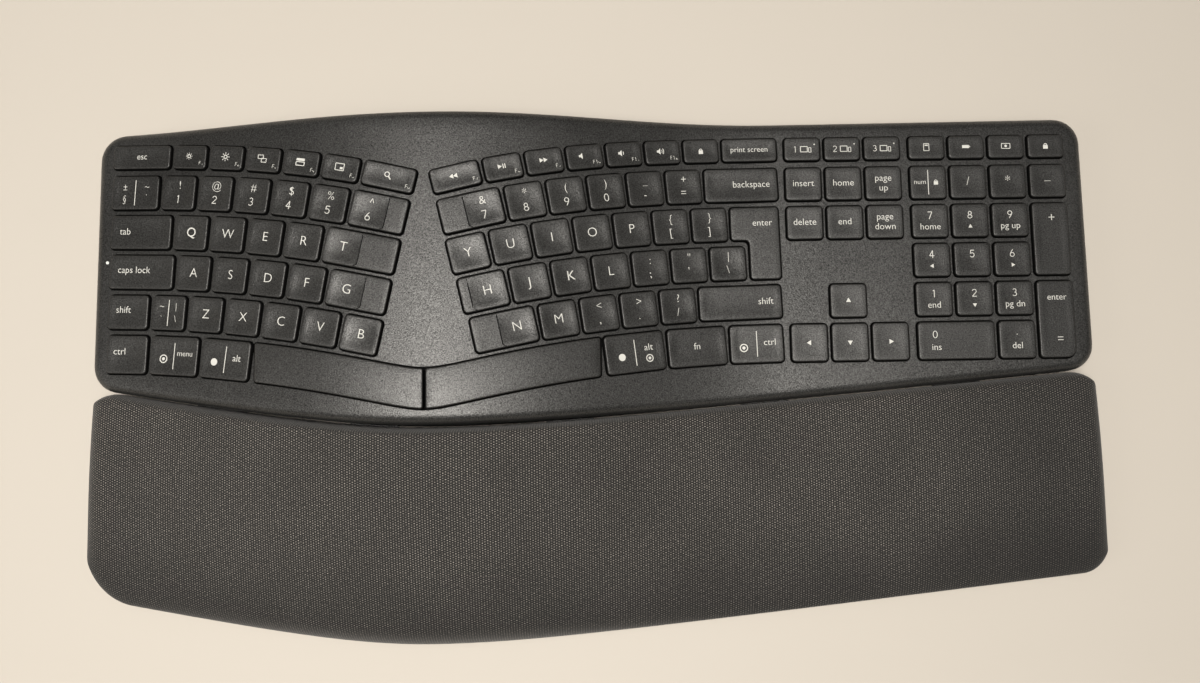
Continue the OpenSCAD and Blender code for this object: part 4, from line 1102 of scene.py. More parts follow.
@dataclass
class KeyField:
    """All banks of keys, one piece for each moving bank."""

    layout: Layout
    forge: CapForge = field(default_factory=CapForge)
    broad_r: float = 4.4
    block_dish: float = 0.35
    bar_r: float = 1.2
    bar_step: float = 2.5
    bar_crown: float = 0.3
    bar_over: float = 4.0
    bar_rim: float = 0.7
    sharp: float = 35.0

    def row(
        self, side: Side, row: int, marks: Sequence[Sequence[Mark]], wing: bool, bar: int = -1
    ) -> list[KeyCap]:
        """Caps of one row half from its outer end.

        Args:
            side: the half.
            row: the row, counted from the back.
            marks: the signs of each key in order.
            wing: whether the key next to the ridge has a flat wing.
            bar: which key has a homing bar.

        Returns:
            One cap for each key.
        """
        cells = self.layout.row_cells(side, row)
        caps = []
        for k, (cell, signs) in enumerate(zip(cells, marks)):
            if wing and k == len(cells) - 1:
                caps.append(self.forge.stepped(cell, signs, side, k == bar))
            else:
                caps.append(self.forge.square(cell, signs, k == bar))
        return caps

    def left_half(self) -> dict[str, list[KeyCap]]:
        """Banks of the left half."""
        row0 = self.row(Side.LEFT, 0, [
            word("esc", Align.CENTRE, size=4.0), *map(action, LEFT_ICONS, range(1, 7)),
        ], False)
        section = split(
            [Mark("±", -5.2, 2.6, 4.4), Mark("§", -5.2, -2.8, 4.6)],
            [Mark("~", 5.4, 2.8, 4.4), Mark("`", 5.4, -2.2, 4.6)],
        )
        row1 = self.row(Side.LEFT, 1, [section, *pairs("!1 @2 #3 $4 %5 ^6")], True)
        row2 = self.row(Side.LEFT, 2, [word("tab", x=4.3), *letters("QWERT")], True)
        row3 = self.row(Side.LEFT, 3, [word("caps lock", x=3.8, y=0.9), *letters("ASDFG")], True, 4)
        slash = split(
            [Mark("~", -3.6, 3.0, 4.0), Mark("`", -3.6, -2.6, 4.2)],
            [Mark("|", 3.4, 3.0, 4.2), Mark("\\", 3.4, -2.6, 4.4)],
        )
        row4 = self.row(Side.LEFT, 4, [word("shift", x=3.7, y=1.0), slash, *letters("ZXCVB")], False)
        menu = split([Mark(Icon.RING, -5.2, -1.4, 4.0)], [Mark("menu", 5.1, 1.2, 3.5)])
        alt = split([Mark(Icon.DOT, -5.4, -1.4, 3.2)], [Mark("alt", 5.4, 0.9, 4.2)])
        row5 = self.row(Side.LEFT, 5, [word("ctrl", x=3.0, y=1.3), menu, alt], False)
        return {
            "escape_key": row0[:1], "function_keys_left": row0[1:], "number_keys_left": row1,
            "tab_key": row2[:1], "upper_letter_keys_left": row2[1:], "caps_lock_key": row3[:1],
            "home_letter_keys_left": row3[1:], "left_shift_key": row4[:1],
            "lower_letter_keys_left": row4[1:], "left_modifier_keys": row5,
        }

    def right_half(self) -> dict[str, list[KeyCap]]:
        """Banks of the right half."""
        row0 = self.row(Side.RIGHT, 0, [
            word("print screen", Align.CENTRE, size=3.6), [Mark(Icon.LOCK, 0, 0.2, 3.4)],
            *map(action, RIGHT_ICONS, range(12, 6, -1)),
        ], False)
        backspace = word("backspace", Align.RIGHT, 3.6)
        row1 = self.row(Side.RIGHT, 1, [backspace, *pairs("+= _- )0 (9 *8 &7")], True)
        row2 = self.row(Side.RIGHT, 2, [[], *pairs("}] {["), *letters("POIUY")], False)
        row3 = self.row(Side.RIGHT, 3, [[], *pairs("|\\ \"' :;"), *letters("LKJH")], True, 6)
        shift = word("shift", Align.RIGHT, 3.8)
        row4 = self.row(Side.RIGHT, 4, [shift, *pairs("?/ >. <,"), *letters("MN")], True)
        control = split([Mark(Icon.RING, -6.0, -1.6, 4.0)], [Mark("ctrl", 6.0, 0.6, 4.2)])
        other = split([Mark(Icon.DOT, -6.2, -1.4, 3.2)],
                      [Mark("alt", 6.4, 1.8, 4.2), Mark(Icon.RING, 6.4, -3.0, 3.6)])
        row5 = self.row(Side.RIGHT, 5, [control, word("fn", Align.CENTRE), other], False)
        return {
            "function_keys_right": row0, "number_keys_right": row1[1:], "backspace_key": row1[:1],
            "upper_letter_keys_right": row2[1:], "enter_key": [self.enter_cap()],
            "home_letter_keys_right": row3[1:], "right_shift_key": row4[:1],
            "lower_letter_keys_right": row4[1:], "right_modifier_keys": row5,
        }

    def enter_cell(self) -> Cell:
        """The tall arm's cell of the stepped enter key."""
        wide = self.layout.right_rows[3][0] * self.layout.key_pitch
        lower = self.layout.row_cells(Side.RIGHT, 3)[0]
        tall = self.layout.tall_cell(lower.x, 2, 3, wide)
        x = self.layout.right_start - wide / 2
        return Cell(self.layout, x, tall.y, wide, tall.d, self.layout.slope(x), lower.heading)

    def enter_outline(self, edge: float) -> Outline:
        """Plan of the stepped enter key, its edge drawn in from the opening by an amount."""
        cell = self.enter_cell()
        side, end = self.layout.column_web + 2 * edge, self.layout.web + 2 * edge
        wide = self.layout.right_rows[2][0] * self.layout.key_pitch - side
        radius = self.forge.corner_r + self.layout.key_gap - edge
        return Outline.stepped(cell.w - side, cell.d - end, wide, self.layout.row_pitch - end, radius)

    def enter_cap(self) -> KeyCap:
        """The stepped enter key."""
        cell = self.enter_cell()
        dish = Dish(0, 1, 1, 0.0)
        signs = word("enter", Align.RIGHT, 3.2, 9.3, 4.2)
        return KeyCap(cell, self.enter_outline(self.layout.key_gap), dish, tuple(signs))

    def bar_caps(self) -> dict[str, list[KeyCap]]:
        """The two space bars."""
        left, right = self.layout.bar_ends()
        lap = self.layout.bar_gap / 2 - self.layout.key_gap
        banks = {}
        for name, x0, x1 in (("left_space_bar", left, -lap), ("right_space_bar", lap, right)):
            cell = BarCell(self.layout, x0, x1)
            w, d = cell.key_w(), cell.key_d()
            dish = Dish(0, w / 2 + self.bar_over, d / 2 - self.bar_rim, -self.bar_crown, True)
            banks[name] = [KeyCap(cell, Outline.rectangle(w, d, self.bar_r, self.bar_step), dish)]
        return banks

    def rounded(self, cap: KeyCap) -> KeyCap:
        """The same key with a broad round at its front right corner."""
        r = self.forge.corner_r
        return replace(cap, outline=replace(cap.outline, radii=(r, self.broad_r, r, r)))

    def blocks(self) -> dict[str, list[KeyCap]]:
        """Banks of the navigation block and the number pad."""
        layout, square = self.layout, replace(self.forge, dish_depth=self.block_dish).square
        pitch = layout.key_pitch

        def nav(column: int, row: int, marks: Sequence[Mark]) -> KeyCap:
            """A key of the navigation block."""
            return square(layout.cell(layout.nav_x + column * pitch, row), marks)

        def pad(
            column: float, row: int, marks: Sequence[Mark], width: float = 1.0, bar: bool = False
        ) -> KeyCap:
            """A key of the number pad."""
            return square(layout.cell(layout.pad_x + column * pitch, row, width * pitch), marks, bar)

        device = [[Mark(str(k + 1), -3.2, 0.0, 4.2), Mark(Icon.DEVICES, 1.6, 0.0, 4.2),
                   Mark(Icon.DOT, 5.7, 2.2, 0.6)] for k in range(3)]
        insert, home, delete, end = (word(text, Align.CENTRE) for text in ("insert", "home", "delete", "end"))
        up, down = ([Mark("page", 0, 2.3, 4.3), Mark(text, 0, -2.3, 4.3)] for text in ("up", "down"))
        edit = [insert, home, up, delete, end, down]
        extras = [Icon.SUMS, Icon.CELL, Icon.SNAP, Icon.LOCK]
        arrows = (("up", 1, 4, Icon.UP), ("left", 0, 5, Icon.POINT_LEFT), ("down", 1, 5, Icon.DOWN),
                  ("right", 2, 5, Icon.POINT_RIGHT))
        number = split([Mark("num", -3.7, 0.2, 3.3)], [Mark(Icon.LOCK, 3.6, 0.2, 3.2)])
        top = [number, *letters("/*–")]
        below = ("home", Icon.UP, "pg up", Icon.POINT_LEFT, None, Icon.POINT_RIGHT, "end", Icon.DOWN, "pg dn")
        digits = list(map(digit, "789456123", below))
        tall_x = layout.pad_x + 3 * pitch
        plus = layout.tall_cell(tall_x, 2, 3, pitch)
        enter = layout.tall_cell(tall_x, 4, 5, pitch)
        return {
            "device_keys": [nav(k, 0, device[k]) for k in range(3)],
            "editing_keys": [nav(k % 3, 1 + k // 3, edit[k]) for k in range(6)],
            **{f"arrow_{name}_key": [nav(column, row, [Mark(icon, 0, 0, 2.6)])]
               for name, column, row, icon in arrows},
            "pad_function_keys": [pad(k, 0, [Mark(icon, 0, 0.2, 3.6)]) for k, icon in enumerate(extras)],
            "pad_operator_keys": [pad(k, 1, top[k]) for k in range(4)],
            "pad_digit_keys": [pad(k % 3, 2 + k // 3, digits[k], bar=k == 4) for k in range(9)],
            "pad_plus_key": [square(plus, [Mark("+", 0.6, 9.6, 6.2)])],
            "pad_enter_key": [self.rounded(square(enter, [Mark("enter", 0.6, 10.0, 4.1),
                                                          Mark("=", 1.2, -9.2, 5.8)]))],
            "pad_zero_key": [pad(0.5, 5, [Mark("0", 6.6, 2.8, 5.0, Align.LEFT),
                                          Mark("ins", 6.0, -3.0, 4.2, Align.LEFT)], 2.0)],
            "pad_point_key": [pad(2, 5, [Mark(".", 0, 3.6, 5.0), Mark("del", 0, -2.8, 4.2)])],
        }

    def banks(self) -> dict[str, list[KeyCap]]:
        """Every bank by the name of its node."""
        return {**self.left_half(), **self.right_half(), **self.bar_caps(), **self.blocks()}

    def build(self, plastic: Material, ink: Material, gap: Material) -> None:
        """Makes one piece for each bank, on the body that moves it.

        Args:
            plastic: the caps' finish.
            ink: the printed signs' finish.
            gap: the finish of the skirts, which stay in the dark: near-black painted shade, also on the bars'
                insides and the lines at the wings' steps.
        """
        for name, caps in self.banks().items():
            draft = Draft(self.layout)
            for cap in caps:
                self.forge.forge(draft, cap)
            piece = draft.build(f"{name}_caps", [plastic, ink, gap], self.sharp)
            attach(piece, name)
            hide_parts(name)
            LOG.info("%s: %d caps", name, len(caps))


@dataclass
class TopCase:
    """The frame: one curved face with an opening for each key, rounded down to the case's sides."""

    layout: Layout
    keys: KeyField
    wall: float = 2.2
    seam_z: float = 7.5
    rim: float = 4.2
    lip: float = 0.22
    grid: float = 7.0
    clear: float = 2.0
    opening_r: float = 2.2
    bar_opening_r: float = 1.6
    seam_edge: float = 0.3
    inner_drop: float = 0.5
    sharp: float = 38.0

    def openings(self) -> list[tuple[Place, Outline]]:
        """Place and plan of each opening."""
        web, column_web = self.layout.web, self.layout.column_web
        found: list[tuple[Place, Outline]] = []
        for name, caps in self.keys.banks().items():
            for cap in caps:
                cell = cap.place
                if isinstance(cell, BarCell):
                    continue
                plan = Outline.rectangle(cell.w - column_web, cell.d - web, self.opening_r)
                if name == "enter_key":
                    plan = self.keys.enter_outline(0.0)
                elif name == "pad_enter_key":
                    r = self.opening_r
                    plan = replace(plan, radii=(r, self.keys.broad_r + self.layout.key_gap, r, r))
                found.append((cell, plan))
        left, right = self.layout.bar_ends()
        bars = BarCell(self.layout, left, right)
        deep, step = self.layout.bottom_cell - web, self.keys.bar_step
        found.append((bars, Outline.rectangle(right - left, deep, self.bar_opening_r, step)))
        return found

    def on_face(self, place: Place, x: float, y: float, depth: float) -> Point3:
        """A point of an opening on the frame's face, or sunk under it."""
        gx, gy, _ = place.place(x, y, 0.0)
        tilt = place.slope if isinstance(place, Cell) else 0.0
        return gx + depth * math.sin(tilt), gy, self.layout.frame_z(gx) - depth * math.cos(tilt)

    def face_points(self, rings: Sequence[Ring], edge: Ring) -> list[Point2]:
        """Points between the openings that carry the hump."""
        clear = self.clear
        boxes = boxed(rings, clear)
        points = []
        columns = int((self.layout.body_left + self.layout.body_right) / self.grid)
        rows = int((self.layout.back_y - self.layout.ridge_front_y) / self.grid)
        for i in range(1, columns):
            for j in range(1, rows):
                p = (-self.layout.body_left + i * self.grid, self.layout.ridge_front_y + j * self.grid)
                if not inside(p, edge) or min(math.dist(p, q) for q in edge) < clear:
                    continue
                near = about(p, boxes)
                if all(not inside(p, r) and min(math.dist(p, q) for q in r) > clear for r in near):
                    points.append(p)
        return points

    def build(self, plastic: Material, gap: Material) -> None:
        """Makes the frame as one closed shell.

        Args:
            plastic: the case's finish.
            gap: the finish of the openings' walls, which stay in the dark: near-black painted shade.
        """
        layout = self.layout
        draft = Draft(layout)
        openings = self.openings()
        edge = layout.body_loop(self.rim)
        mouths = []
        for place, outline in openings:
            mouths.append([self.on_face(place, x, y, 0.0)[:2] for x, y in outline.loop(-self.lip)])
        lines, start = [], len(edge)
        for ring in mouths:
            lines += [(start + k, start + (k + 1) % len(ring)) for k in range(len(ring))]
            start += len(ring)
        extra = [p for ring in mouths for p in ring] + self.face_points(mouths, edge)
        points, faces = fill(edge, extra, lines)
        kept = self.between(points, faces, mouths)
        used = sorted({k for f in kept for k in f} - set(range(len(edge))))
        sheet = dict(enumerate(draft.add([(x, y, layout.frame_z(x)) for x, y in edge])))
        upper = draft.add([(x, y, layout.frame_z(x)) for x, y in (points[k] for k in used)])
        sheet.update(zip(used, upper))
        for corners in kept:
            draft.face([sheet[k] for k in corners])
        below = self.mouth_walls(draft, openings, points, kept, sheet, len(edge))
        below.update(enumerate(self.rim_walls(draft, [sheet[k] for k in range(len(edge))])))
        inner = [k for k in used if k not in below]
        low = draft.add([(x, y, layout.frame_z(x) - self.wall) for x, y in (points[k] for k in inner)])
        below.update(zip(inner, low))
        for corners in kept:
            draft.face([below[k] for k in reversed(corners)])
        piece = draft.build("frame_face", [plastic, gap], self.sharp)
        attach(piece, "keyboard")
        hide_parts("top_case")
        LOG.info("frame: %d openings", len(openings))

    def between(self, points: Ring, faces: Sequence[Face], mouths: Sequence[Ring]) -> list[Face]:
        """The face's triangles that lie in no opening."""
        boxes = boxed(mouths)
        kept = []
        for face in faces:
            x = sum(points[k][0] for k in face) / len(face)
            y = sum(points[k][1] for k in face) / len(face)
            if not any(inside((x, y), ring) for ring in about((x, y), boxes)):
                kept.append(face)
        return kept

    def mouth_walls(
        self, draft: Draft, openings: Sequence[tuple[Place, Outline]], points: Ring,
        kept: Sequence[Face], sheet: dict[int, int], start: int
    ) -> dict[int, int]:
        """Breaks each opening's edge, takes its wall down, and also where two openings run together.

        Args:
            draft: the frame.
            openings: place and plan of each opening.
            points: the face's points, the case's edge first and then each opening's.
            kept: the face's triangles.
            sheet: the drawn number of each point of the face.
            start: how many points the case's edge has.

        Returns:
            The drawn number of each wall's lowest point, by the point of the face over it.
        """
        edges = {(a, b) for f in kept for a, b in zip(f, (*f[1:], f[0]))}
        rims = sorted((a, b) for a, b in edges if (b, a) not in edges and max(a, b) >= start)
        spots: dict[int, list[Point3]] = {}
        number = start
        for place, outline in openings:
            for x, y in outline.loop():
                spots[number] = [self.on_face(place, x, y, depth) for depth in (self.lip, self.wall)]
                number += 1
        upper = dict(sheet)
        # The lip keeps the plastic; the wall under it wears near-black painted shade.
        for slot, depth in enumerate((self.lip, self.wall)):
            lower = {}
            for k in sorted({k for rim in rims for k in rim}):
                x, y = points[k]
                plain = (x, y, self.layout.frame_z(x) - depth)
                lower[k] = draft.add([spots[k][slot] if k in spots else plain])[0]
            for a, b in rims:
                draft.face((upper[b], upper[a], lower[a], lower[b]), slot)
            upper = lower
        return upper

    def rim_walls(self, draft: Draft, upper: Sequence[int]) -> list[int]:
        """Rounds the outer edge, takes the side down and back up inside, and returns the last loop."""
        layout = self.layout
        rings: list[tuple[float, Callable[[float], float]]] = []
        for turn in RIM_TURNS:
            a = math.radians(turn)
            drop = self.rim * (1 - math.cos(a))
            rings.append((self.rim * (1 - math.sin(a)), lambda x, drop=drop: layout.frame_z(x) - drop))
        rings += [
            (0.0, lambda x: self.seam_z + self.seam_edge),
            (self.seam_edge, lambda x: self.seam_z),
            (self.wall, lambda x: self.seam_z),
            (self.wall, lambda x: layout.frame_z(x) - self.rim - self.inner_drop),
            (self.rim, lambda x: layout.frame_z(x) - self.wall),
        ]
        last = list(upper)
        for inset, height in rings:
            lower = draft.add([(x, y, height(x)) for x, y in layout.body_loop(inset)])
            draft.bridge(lower, last)
            last = lower
        return last


@dataclass
class PalmRest:
    """The padded palm rest: a crowned form under one knitted cover that follows the hump."""

    layout: Layout
    back_z: float = 16.5
    front_z: float = 10.5
    front_rise: float = 0.35
    crown: float = 2.2
    round_reach: float = 9.0
    back_reach: float = 4.0
    rim_z: float = 5.4
    low_z: float = 6.9
    columns: int = 300
    rows: int = 76
    gather: float = 0.145
    rise_power: float = 1.3
    lean_power: float = 1.6
    # Painted shade on the cloth: how much darker it gets towards the front edge and the right end, and where
    # it starts.
    front_painted_shade: float = 0.5
    front_from: float = 0.55
    front_run: float = 0.45
    end_painted_shade: float = 0.42
    end_from: float = 0.78
    end_run: float = 0.17
    sharp: float = 60.0

    def spread(self, t: float) -> float:
        """Even steps drawn together towards both ends."""
        return t - self.gather * math.sin(2 * math.pi * t)

    def corner_cut(self, x: float, r: float) -> float:
        """How far a corner's round takes the back or front edge in."""
        end = min(x + self.layout.palm_left, self.layout.palm_right - x)
        return 0.0 if end >= r else r - math.sqrt(max(0.0, 2 * r * end - end * end))

    def back_at(self, x: float) -> float:
        """The pad's back edge in plan."""
        held = min(max(x, -self.layout.body_left), self.layout.body_right)
        return self.layout.front_edge(held) - self.layout.palm_gap - self.corner_cut(x, self.layout.corner_r)

    def front_at(self, x: float) -> float:
        """The pad's front edge in plan."""
        r = self.layout.palm_left_corner_r if x < 0 else self.layout.corner_r
        return self.layout.palm_front(x) + self.corner_cut(x, r)

    def face(self, x: float, share: float) -> float:
        """Height of the pad before its rim is rounded off."""
        keep = 1 - (1 - self.front_rise) * share**self.rise_power
        lean = (self.front_z - self.back_z) * share**self.lean_power
        return self.back_z + lean + self.layout.rise(x) * keep + self.crown * math.sin(math.pi * share)

    def point(self, i: int, j: int) -> Point3:
        """One point of the cover."""
        layout = self.layout
        along = self.spread(i / self.columns)
        x = -layout.palm_left + (layout.palm_left + layout.palm_right) * along
        back, front = self.back_at(x), self.front_at(x)
        share = self.spread(j / self.rows)
        y = back + (front - back) * share
        end = min(x + layout.palm_left, layout.palm_right - x)
        near = min(end, (back - y) * self.round_reach / self.back_reach, y - front)
        left = 1.0
        if near < self.round_reach:
            left = math.sqrt(max(0.0, 1 - (1 - near / self.round_reach) ** 2))
        flare = layout.palm_flare * (2 * along - 1) * share
        return x + flare, y, self.low_z + (self.face(x, share) - self.low_z) * left

    def build(self, knit: Material) -> None:
        """Makes the cover as a closed form with a map that follows the cloth."""
        draft = Draft(self.layout)
        grid = [draft.add([self.point(i, j) for j in range(self.rows + 1)]) for i in range(self.columns + 1)]
        for i in range(self.columns):
            for j in range(self.rows):
                draft.face((grid[i][j], grid[i][j + 1], grid[i + 1][j + 1], grid[i + 1][j]))
        border = [(i, 0) for i in range(self.columns)] + [(self.columns, j) for j in range(self.rows)]
        border += [(i, self.rows) for i in range(self.columns, 0, -1)]
        border += [(0, j) for j in range(self.rows, 0, -1)]
        upper = [grid[i][j] for i, j in border]
        lower = draft.add([(*self.point(i, j)[:2], self.rim_z) for i, j in border])
        draft.bridge(upper, lower)
        draft.face(lower)
        piece = draft.build("palm_cover", [knit], self.sharp)
        self.map_cloth(piece, grid)
        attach(piece, "keyboard")
        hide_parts("palm_rest_cover", "palm_rest_foam")
        LOG.info("palm rest: %d points", len(draft.points))

    def painted_cloth_shade(self, i: int, j: int) -> float:
        """Painted shade on the cloth: how much of its tone is left, less towards the front edge and the right
        end.
        """
        front = self.ease((self.spread(j / self.rows) - self.front_from) / self.front_run)
        end = self.ease((self.spread(i / self.columns) - self.end_from) / self.end_run)
        return (1 - self.front_painted_shade * front) * (1 - self.end_painted_shade * end)

    def ease(self, t: float) -> float:
        """A soft step from 0 to 1."""
        held = min(max(t, 0.0), 1.0)
        return held * held * (3 - 2 * held)

    def map_cloth(self, piece: Piece, grid: Sequence[Sequence[int]]) -> None:
        """Lays a map in metres of cloth over the cover, along and across it, and its painted shade."""
        painted_cloth_shade = piece.data.attributes.new("painted_cloth_shade", "FLOAT", "POINT")
        for i, column in enumerate(grid):
            for j, k in enumerate(column):
                painted_cloth_shade.data[k].value = self.painted_cloth_shade(i, j)
        co = [v.co for v in piece.data.vertices]
        flat: dict[int, Point2] = {}
        along = 0.0
        middle = self.rows // 2
        for i, column in enumerate(grid):
            if i:
                along += (co[column[middle]] - co[grid[i - 1][middle]]).length
            runs = [0.0]
            for k, last in zip(column[1:], column):
                runs.append(runs[-1] + (co[k] - co[last]).length)
            for k, run in zip(column, runs):
                flat[k] = (along, co[column[middle]].y + runs[middle] - run)
        uv = piece.data.uv_layers.new(name="cloth")
        for loop in piece.data.loops:
            k = loop.vertex_index
            uv.data[loop.index].uv = flat.get(k, (co[k].x, co[k].y))


class Sockets(Enum):
    """Kinds of socket on a node group."""

    NUMBER = "NodeSocketFloat"
    COUNT = "NodeSocketInt"
    SHAPE = "NodeSocketGeometry"
    FINISH = "NodeSocketMaterial"


class Trees(Enum):
    """Kinds of node tree."""

    SHADER = "ShaderNodeTree"
    GEOMETRY = "GeometryNodeTree"


class Sketch:
    """Adds nodes to a tree, sets them and joins them."""

    def __init__(self, tree: Tree) -> None:
        """Starts on a tree."""
        self.tree = tree

    def feed(self, socket: Socket, value: object) -> None:
        """Links a socket to another one, or sets its plain value."""
        if isinstance(value, Socket):
            self.tree.links.new(value, socket)
        else:
            socket.default_value = value

    def node(
        self, kind: str, inputs: Optional[dict[Union[str, int], object]] = None, **values: object
    ) -> bpy.types.Node:
        """Adds a node.

        Args:
            kind: the node's kind.
            inputs: plain values or sockets for its inputs, by name or number.
            values: its plain properties, which are set first.

        Returns:
            The node.
        """
        node = self.tree.nodes.new(kind)
        for label, value in values.items():
            setattr(node, label, value)
        for label, value in (inputs or {}).items():
            self.feed(node.inputs[label], value)
        return node

    def find(self, kind: str) -> bpy.types.Node:
        """The tree's first node of a kind."""
        return next(node for node in self.tree.nodes if node.type == kind)

    def vector(self, x: object, y: object, z: object) -> Socket:
        """Adds a vector of three numbers or sockets and returns it."""
        return self.node("ShaderNodeCombineXYZ", {0: x, 1: y, 2: z}).outputs[0]

    def math(self, operation: str, a: object, b: object = 0.0, clamp: bool = False) -> Socket:
        """Adds a math node on numbers or sockets and returns its result."""
        return self.node("ShaderNodeMath", {0: a, 1: b}, operation=operation, use_clamp=clamp).outputs[0]

    def noise(self, place: Socket, scale: object, detail: float = 2.0) -> Socket:
        """Adds a noise over a place and returns its value."""
        inputs = {"Vector": place, "Scale": scale, "Detail": detail}
        return self.node("ShaderNodeTexNoise", inputs).outputs[0]

    def mix(self, a: object, b: object, share: object = 1.0, blend: str = "MULTIPLY") -> Socket:
        """Adds a mix of two colours and returns it."""
        inputs = {0: share, 6: a, 7: b}
        return self.node("ShaderNodeMix", inputs, data_type="RGBA", blend_type=blend).outputs[2]

    def shape(self, kind: str, inputs: dict[str, object], **values: object) -> Socket:
        """Adds a geometry node and returns its shape."""
        return self.node(f"GeometryNode{kind}", inputs, **values).outputs[0]

    def gather(self, *shapes: Socket) -> Socket:
        """Puts shapes together in the order given."""
        node = self.node("GeometryNodeJoinGeometry")
        for shape in shapes:
            self.feed(node.inputs[0], shape)
        return node.outputs[0]


class GroupSketch(Sketch):
    """Builds a node group with named inputs and outputs."""

    def __init__(
        self, name: str, inputs: dict[str, Union[float, Sockets]], outputs: Sequence[str],
        kind: Trees = Trees.SHADER,
    ) -> None:
        """Starts a group.

        Args:
            name: the group's name.
            inputs: each number's starting value, or the kind of another input.
            outputs: its outputs, which are numbers, or shapes in a geometry tree.
            kind: the kind of tree.
        """
        super().__init__(bpy.data.node_groups.new(name, kind.value))
        add = self.tree.interface.new_socket
        for label, value in inputs.items():
            if isinstance(value, Sockets):
                add(label, in_out="INPUT", socket_type=value.value)
            else:
                add(label, in_out="INPUT", socket_type=Sockets.NUMBER.value).default_value = value
        result = Sockets.NUMBER if kind is Trees.SHADER else Sockets.SHAPE
        for label in outputs:
            add(label, in_out="OUTPUT", socket_type=result.value)
        self.given = self.node("NodeGroupInput").outputs
        self.end = self.node("NodeGroupOutput").inputs

    def close(self, results: dict[str, Socket]) -> Tree:
        """Links the group's outputs and returns its tree."""
        for label, result in results.items():
            self.feed(self.end[label], result)
        return self.tree


class MaterialSketch(Sketch):
    """Builds a material round its own shader."""

    def __init__(self, name: str) -> None:
        """Starts a material."""
        self.material = bpy.data.materials.new(name)
        self.material.use_nodes = True
        super().__init__(self.material.node_tree)
        self.shader = self.find("BSDF_PRINCIPLED")

    def coat(self, inputs: dict[str, object]) -> None:
        """Feeds the shader's inputs."""
        for label, value in inputs.items():
            self.feed(self.shader.inputs[label], value)

    def bump(self, height: Socket, strength: float, distance: float) -> Socket:
        """Adds a bump and returns its normal."""
        inputs = {"Strength": strength, "Distance": distance, "Height": height}
        return self.node("ShaderNodeBump", inputs).outputs["Normal"]


def grain_group() -> Tree:
    """Fine moulded grain: a height, a spread of roughness, a faint cloud of shade and a glint."""
    sketch = GroupSketch(
        "moulded_grain",
        {"Grain": 2600.0, "Cloud": 26.0, "Roughness": 0.5, "Spread": 0.1, "Mottle": 0.2, "Gloss": 0.5},
        ("Height", "Roughness", "Shade", "Gloss"),
    )
    mean, speck_share, shade_gain, glint_gain = 0.5, 0.12, 5.0, 24.0
    given, calc = sketch.given, sketch.math
    place = sketch.node("ShaderNodeTexCoord").outputs["Object"]
    fine = sketch.noise(place, given["Grain"], 3.0)
    swing = calc("SUBTRACT", sketch.noise(place, given["Cloud"], 4.0), mean)
    speck = calc("MULTIPLY", calc("SUBTRACT", fine, mean), speck_share)
    rough = calc("ADD", given["Roughness"], calc("MULTIPLY", swing, given["Spread"]))
    shade = calc("ADD", swing, calc("MULTIPLY", speck, shade_gain))
    glint = calc("MULTIPLY", calc("MULTIPLY", speck, glint_gain), given["Mottle"])
    return sketch.close({
        "Height": fine,
        "Roughness": calc("ADD", rough, speck, True),
        "Shade": calc("ADD", calc("MULTIPLY", shade, given["Mottle"]), 1.0),
        "Gloss": calc("MULTIPLY", calc("ADD", glint, 1.0), given["Gloss"], True),
    })


def knit_group() -> Tree:
    """A flecked knit: light stitches on a dark ground, every second column half a stitch lower."""
    sketch = GroupSketch(
        "flecked_knit",
        {"Column": 0.00113, "Stitch": 0.00109, "Wander": 0.0003, "Unevenness": 0.75},
        ("Fleck", "Height", "Cloud"),
    )
    sway_scale, uneven_scale, cloud_scale = 300.0, 800.0, 30.0
    rib_share, ground, fleck_gain, least, lift_gain = 0.4, 0.4, 1.3, 0.3, 2.6
    given, calc = sketch.given, sketch.math
    place = sketch.node("ShaderNodeTexCoord").outputs["UV"]
    u, v, _ = sketch.node("ShaderNodeSeparateXYZ", {0: place}).outputs
    sway = calc("SUBTRACT", sketch.noise(place, sway_scale), 0.5)
    shift = calc("MULTIPLY", sway, given["Wander"])
    across = calc("DIVIDE", calc("ADD", u, shift), given["Column"])
    along = calc("DIVIDE", calc("SUBTRACT", v, shift), given["Stitch"])
    column = calc("MULTIPLY", across, math.pi)
    stitch = calc("COSINE", calc("MULTIPLY", along, 2 * math.pi))
    lattice = calc("MULTIPLY", calc("COSINE", column), stitch)
    rib = calc("COSINE", calc("MULTIPLY", column, 2.0))
    wave = calc("ADD", lattice, calc("MULTIPLY", rib, rib_share))
    dot = calc("MULTIPLY", calc("SUBTRACT", wave, ground), fleck_gain, True)
    uneven = calc("SUBTRACT", sketch.noise(place, uneven_scale, 1.0), least)
    lift = calc("MULTIPLY", uneven, lift_gain, True)
    keep = calc("SUBTRACT", 1.0, given["Unevenness"])
    patchy = calc("ADD", calc("MULTIPLY", lift, given["Unevenness"]), keep)
    return sketch.close({
        "Fleck": calc("MULTIPLY", dot, patchy),
        "Height": wave,
        "Cloud": sketch.noise(place, cloud_scale, 5.0),
    })


@dataclass(frozen=True)
class Finish:
    """A moulded or plain surface: its colour, gloss and grain."""

    name: str
    colour: Colour
    roughness: float
    grain: float
    bump: float
    spread: float
    metallic: float = 0.0
    mottle: float = 0.2
    specular: float = 0.5
    glint: bool = False
    depth: float = 0.00012

    def make(self, group: Tree) -> Material:
        """Builds the material on the shared grain."""
        sketch = MaterialSketch(self.name)
        grain = sketch.node("ShaderNodeGroup", node_tree=group)
        given, made = grain.inputs, grain.outputs
        for label, value in (("Grain", self.grain), ("Roughness", self.roughness), ("Spread", self.spread),
                             ("Mottle", self.mottle), ("Gloss", self.specular)):
            sketch.feed(given[label], value)
        sketch.coat({
            "Metallic": self.metallic,
            "Specular IOR Level": self.specular,
            "Base Color": sketch.mix(self.colour, made["Shade"]),
            "Roughness": made["Roughness"],
            "Normal": sketch.bump(made["Height"], self.bump, self.depth),
        })
        if self.glint:
            sketch.coat({"Specular IOR Level": made["Gloss"]})
        return sketch.material


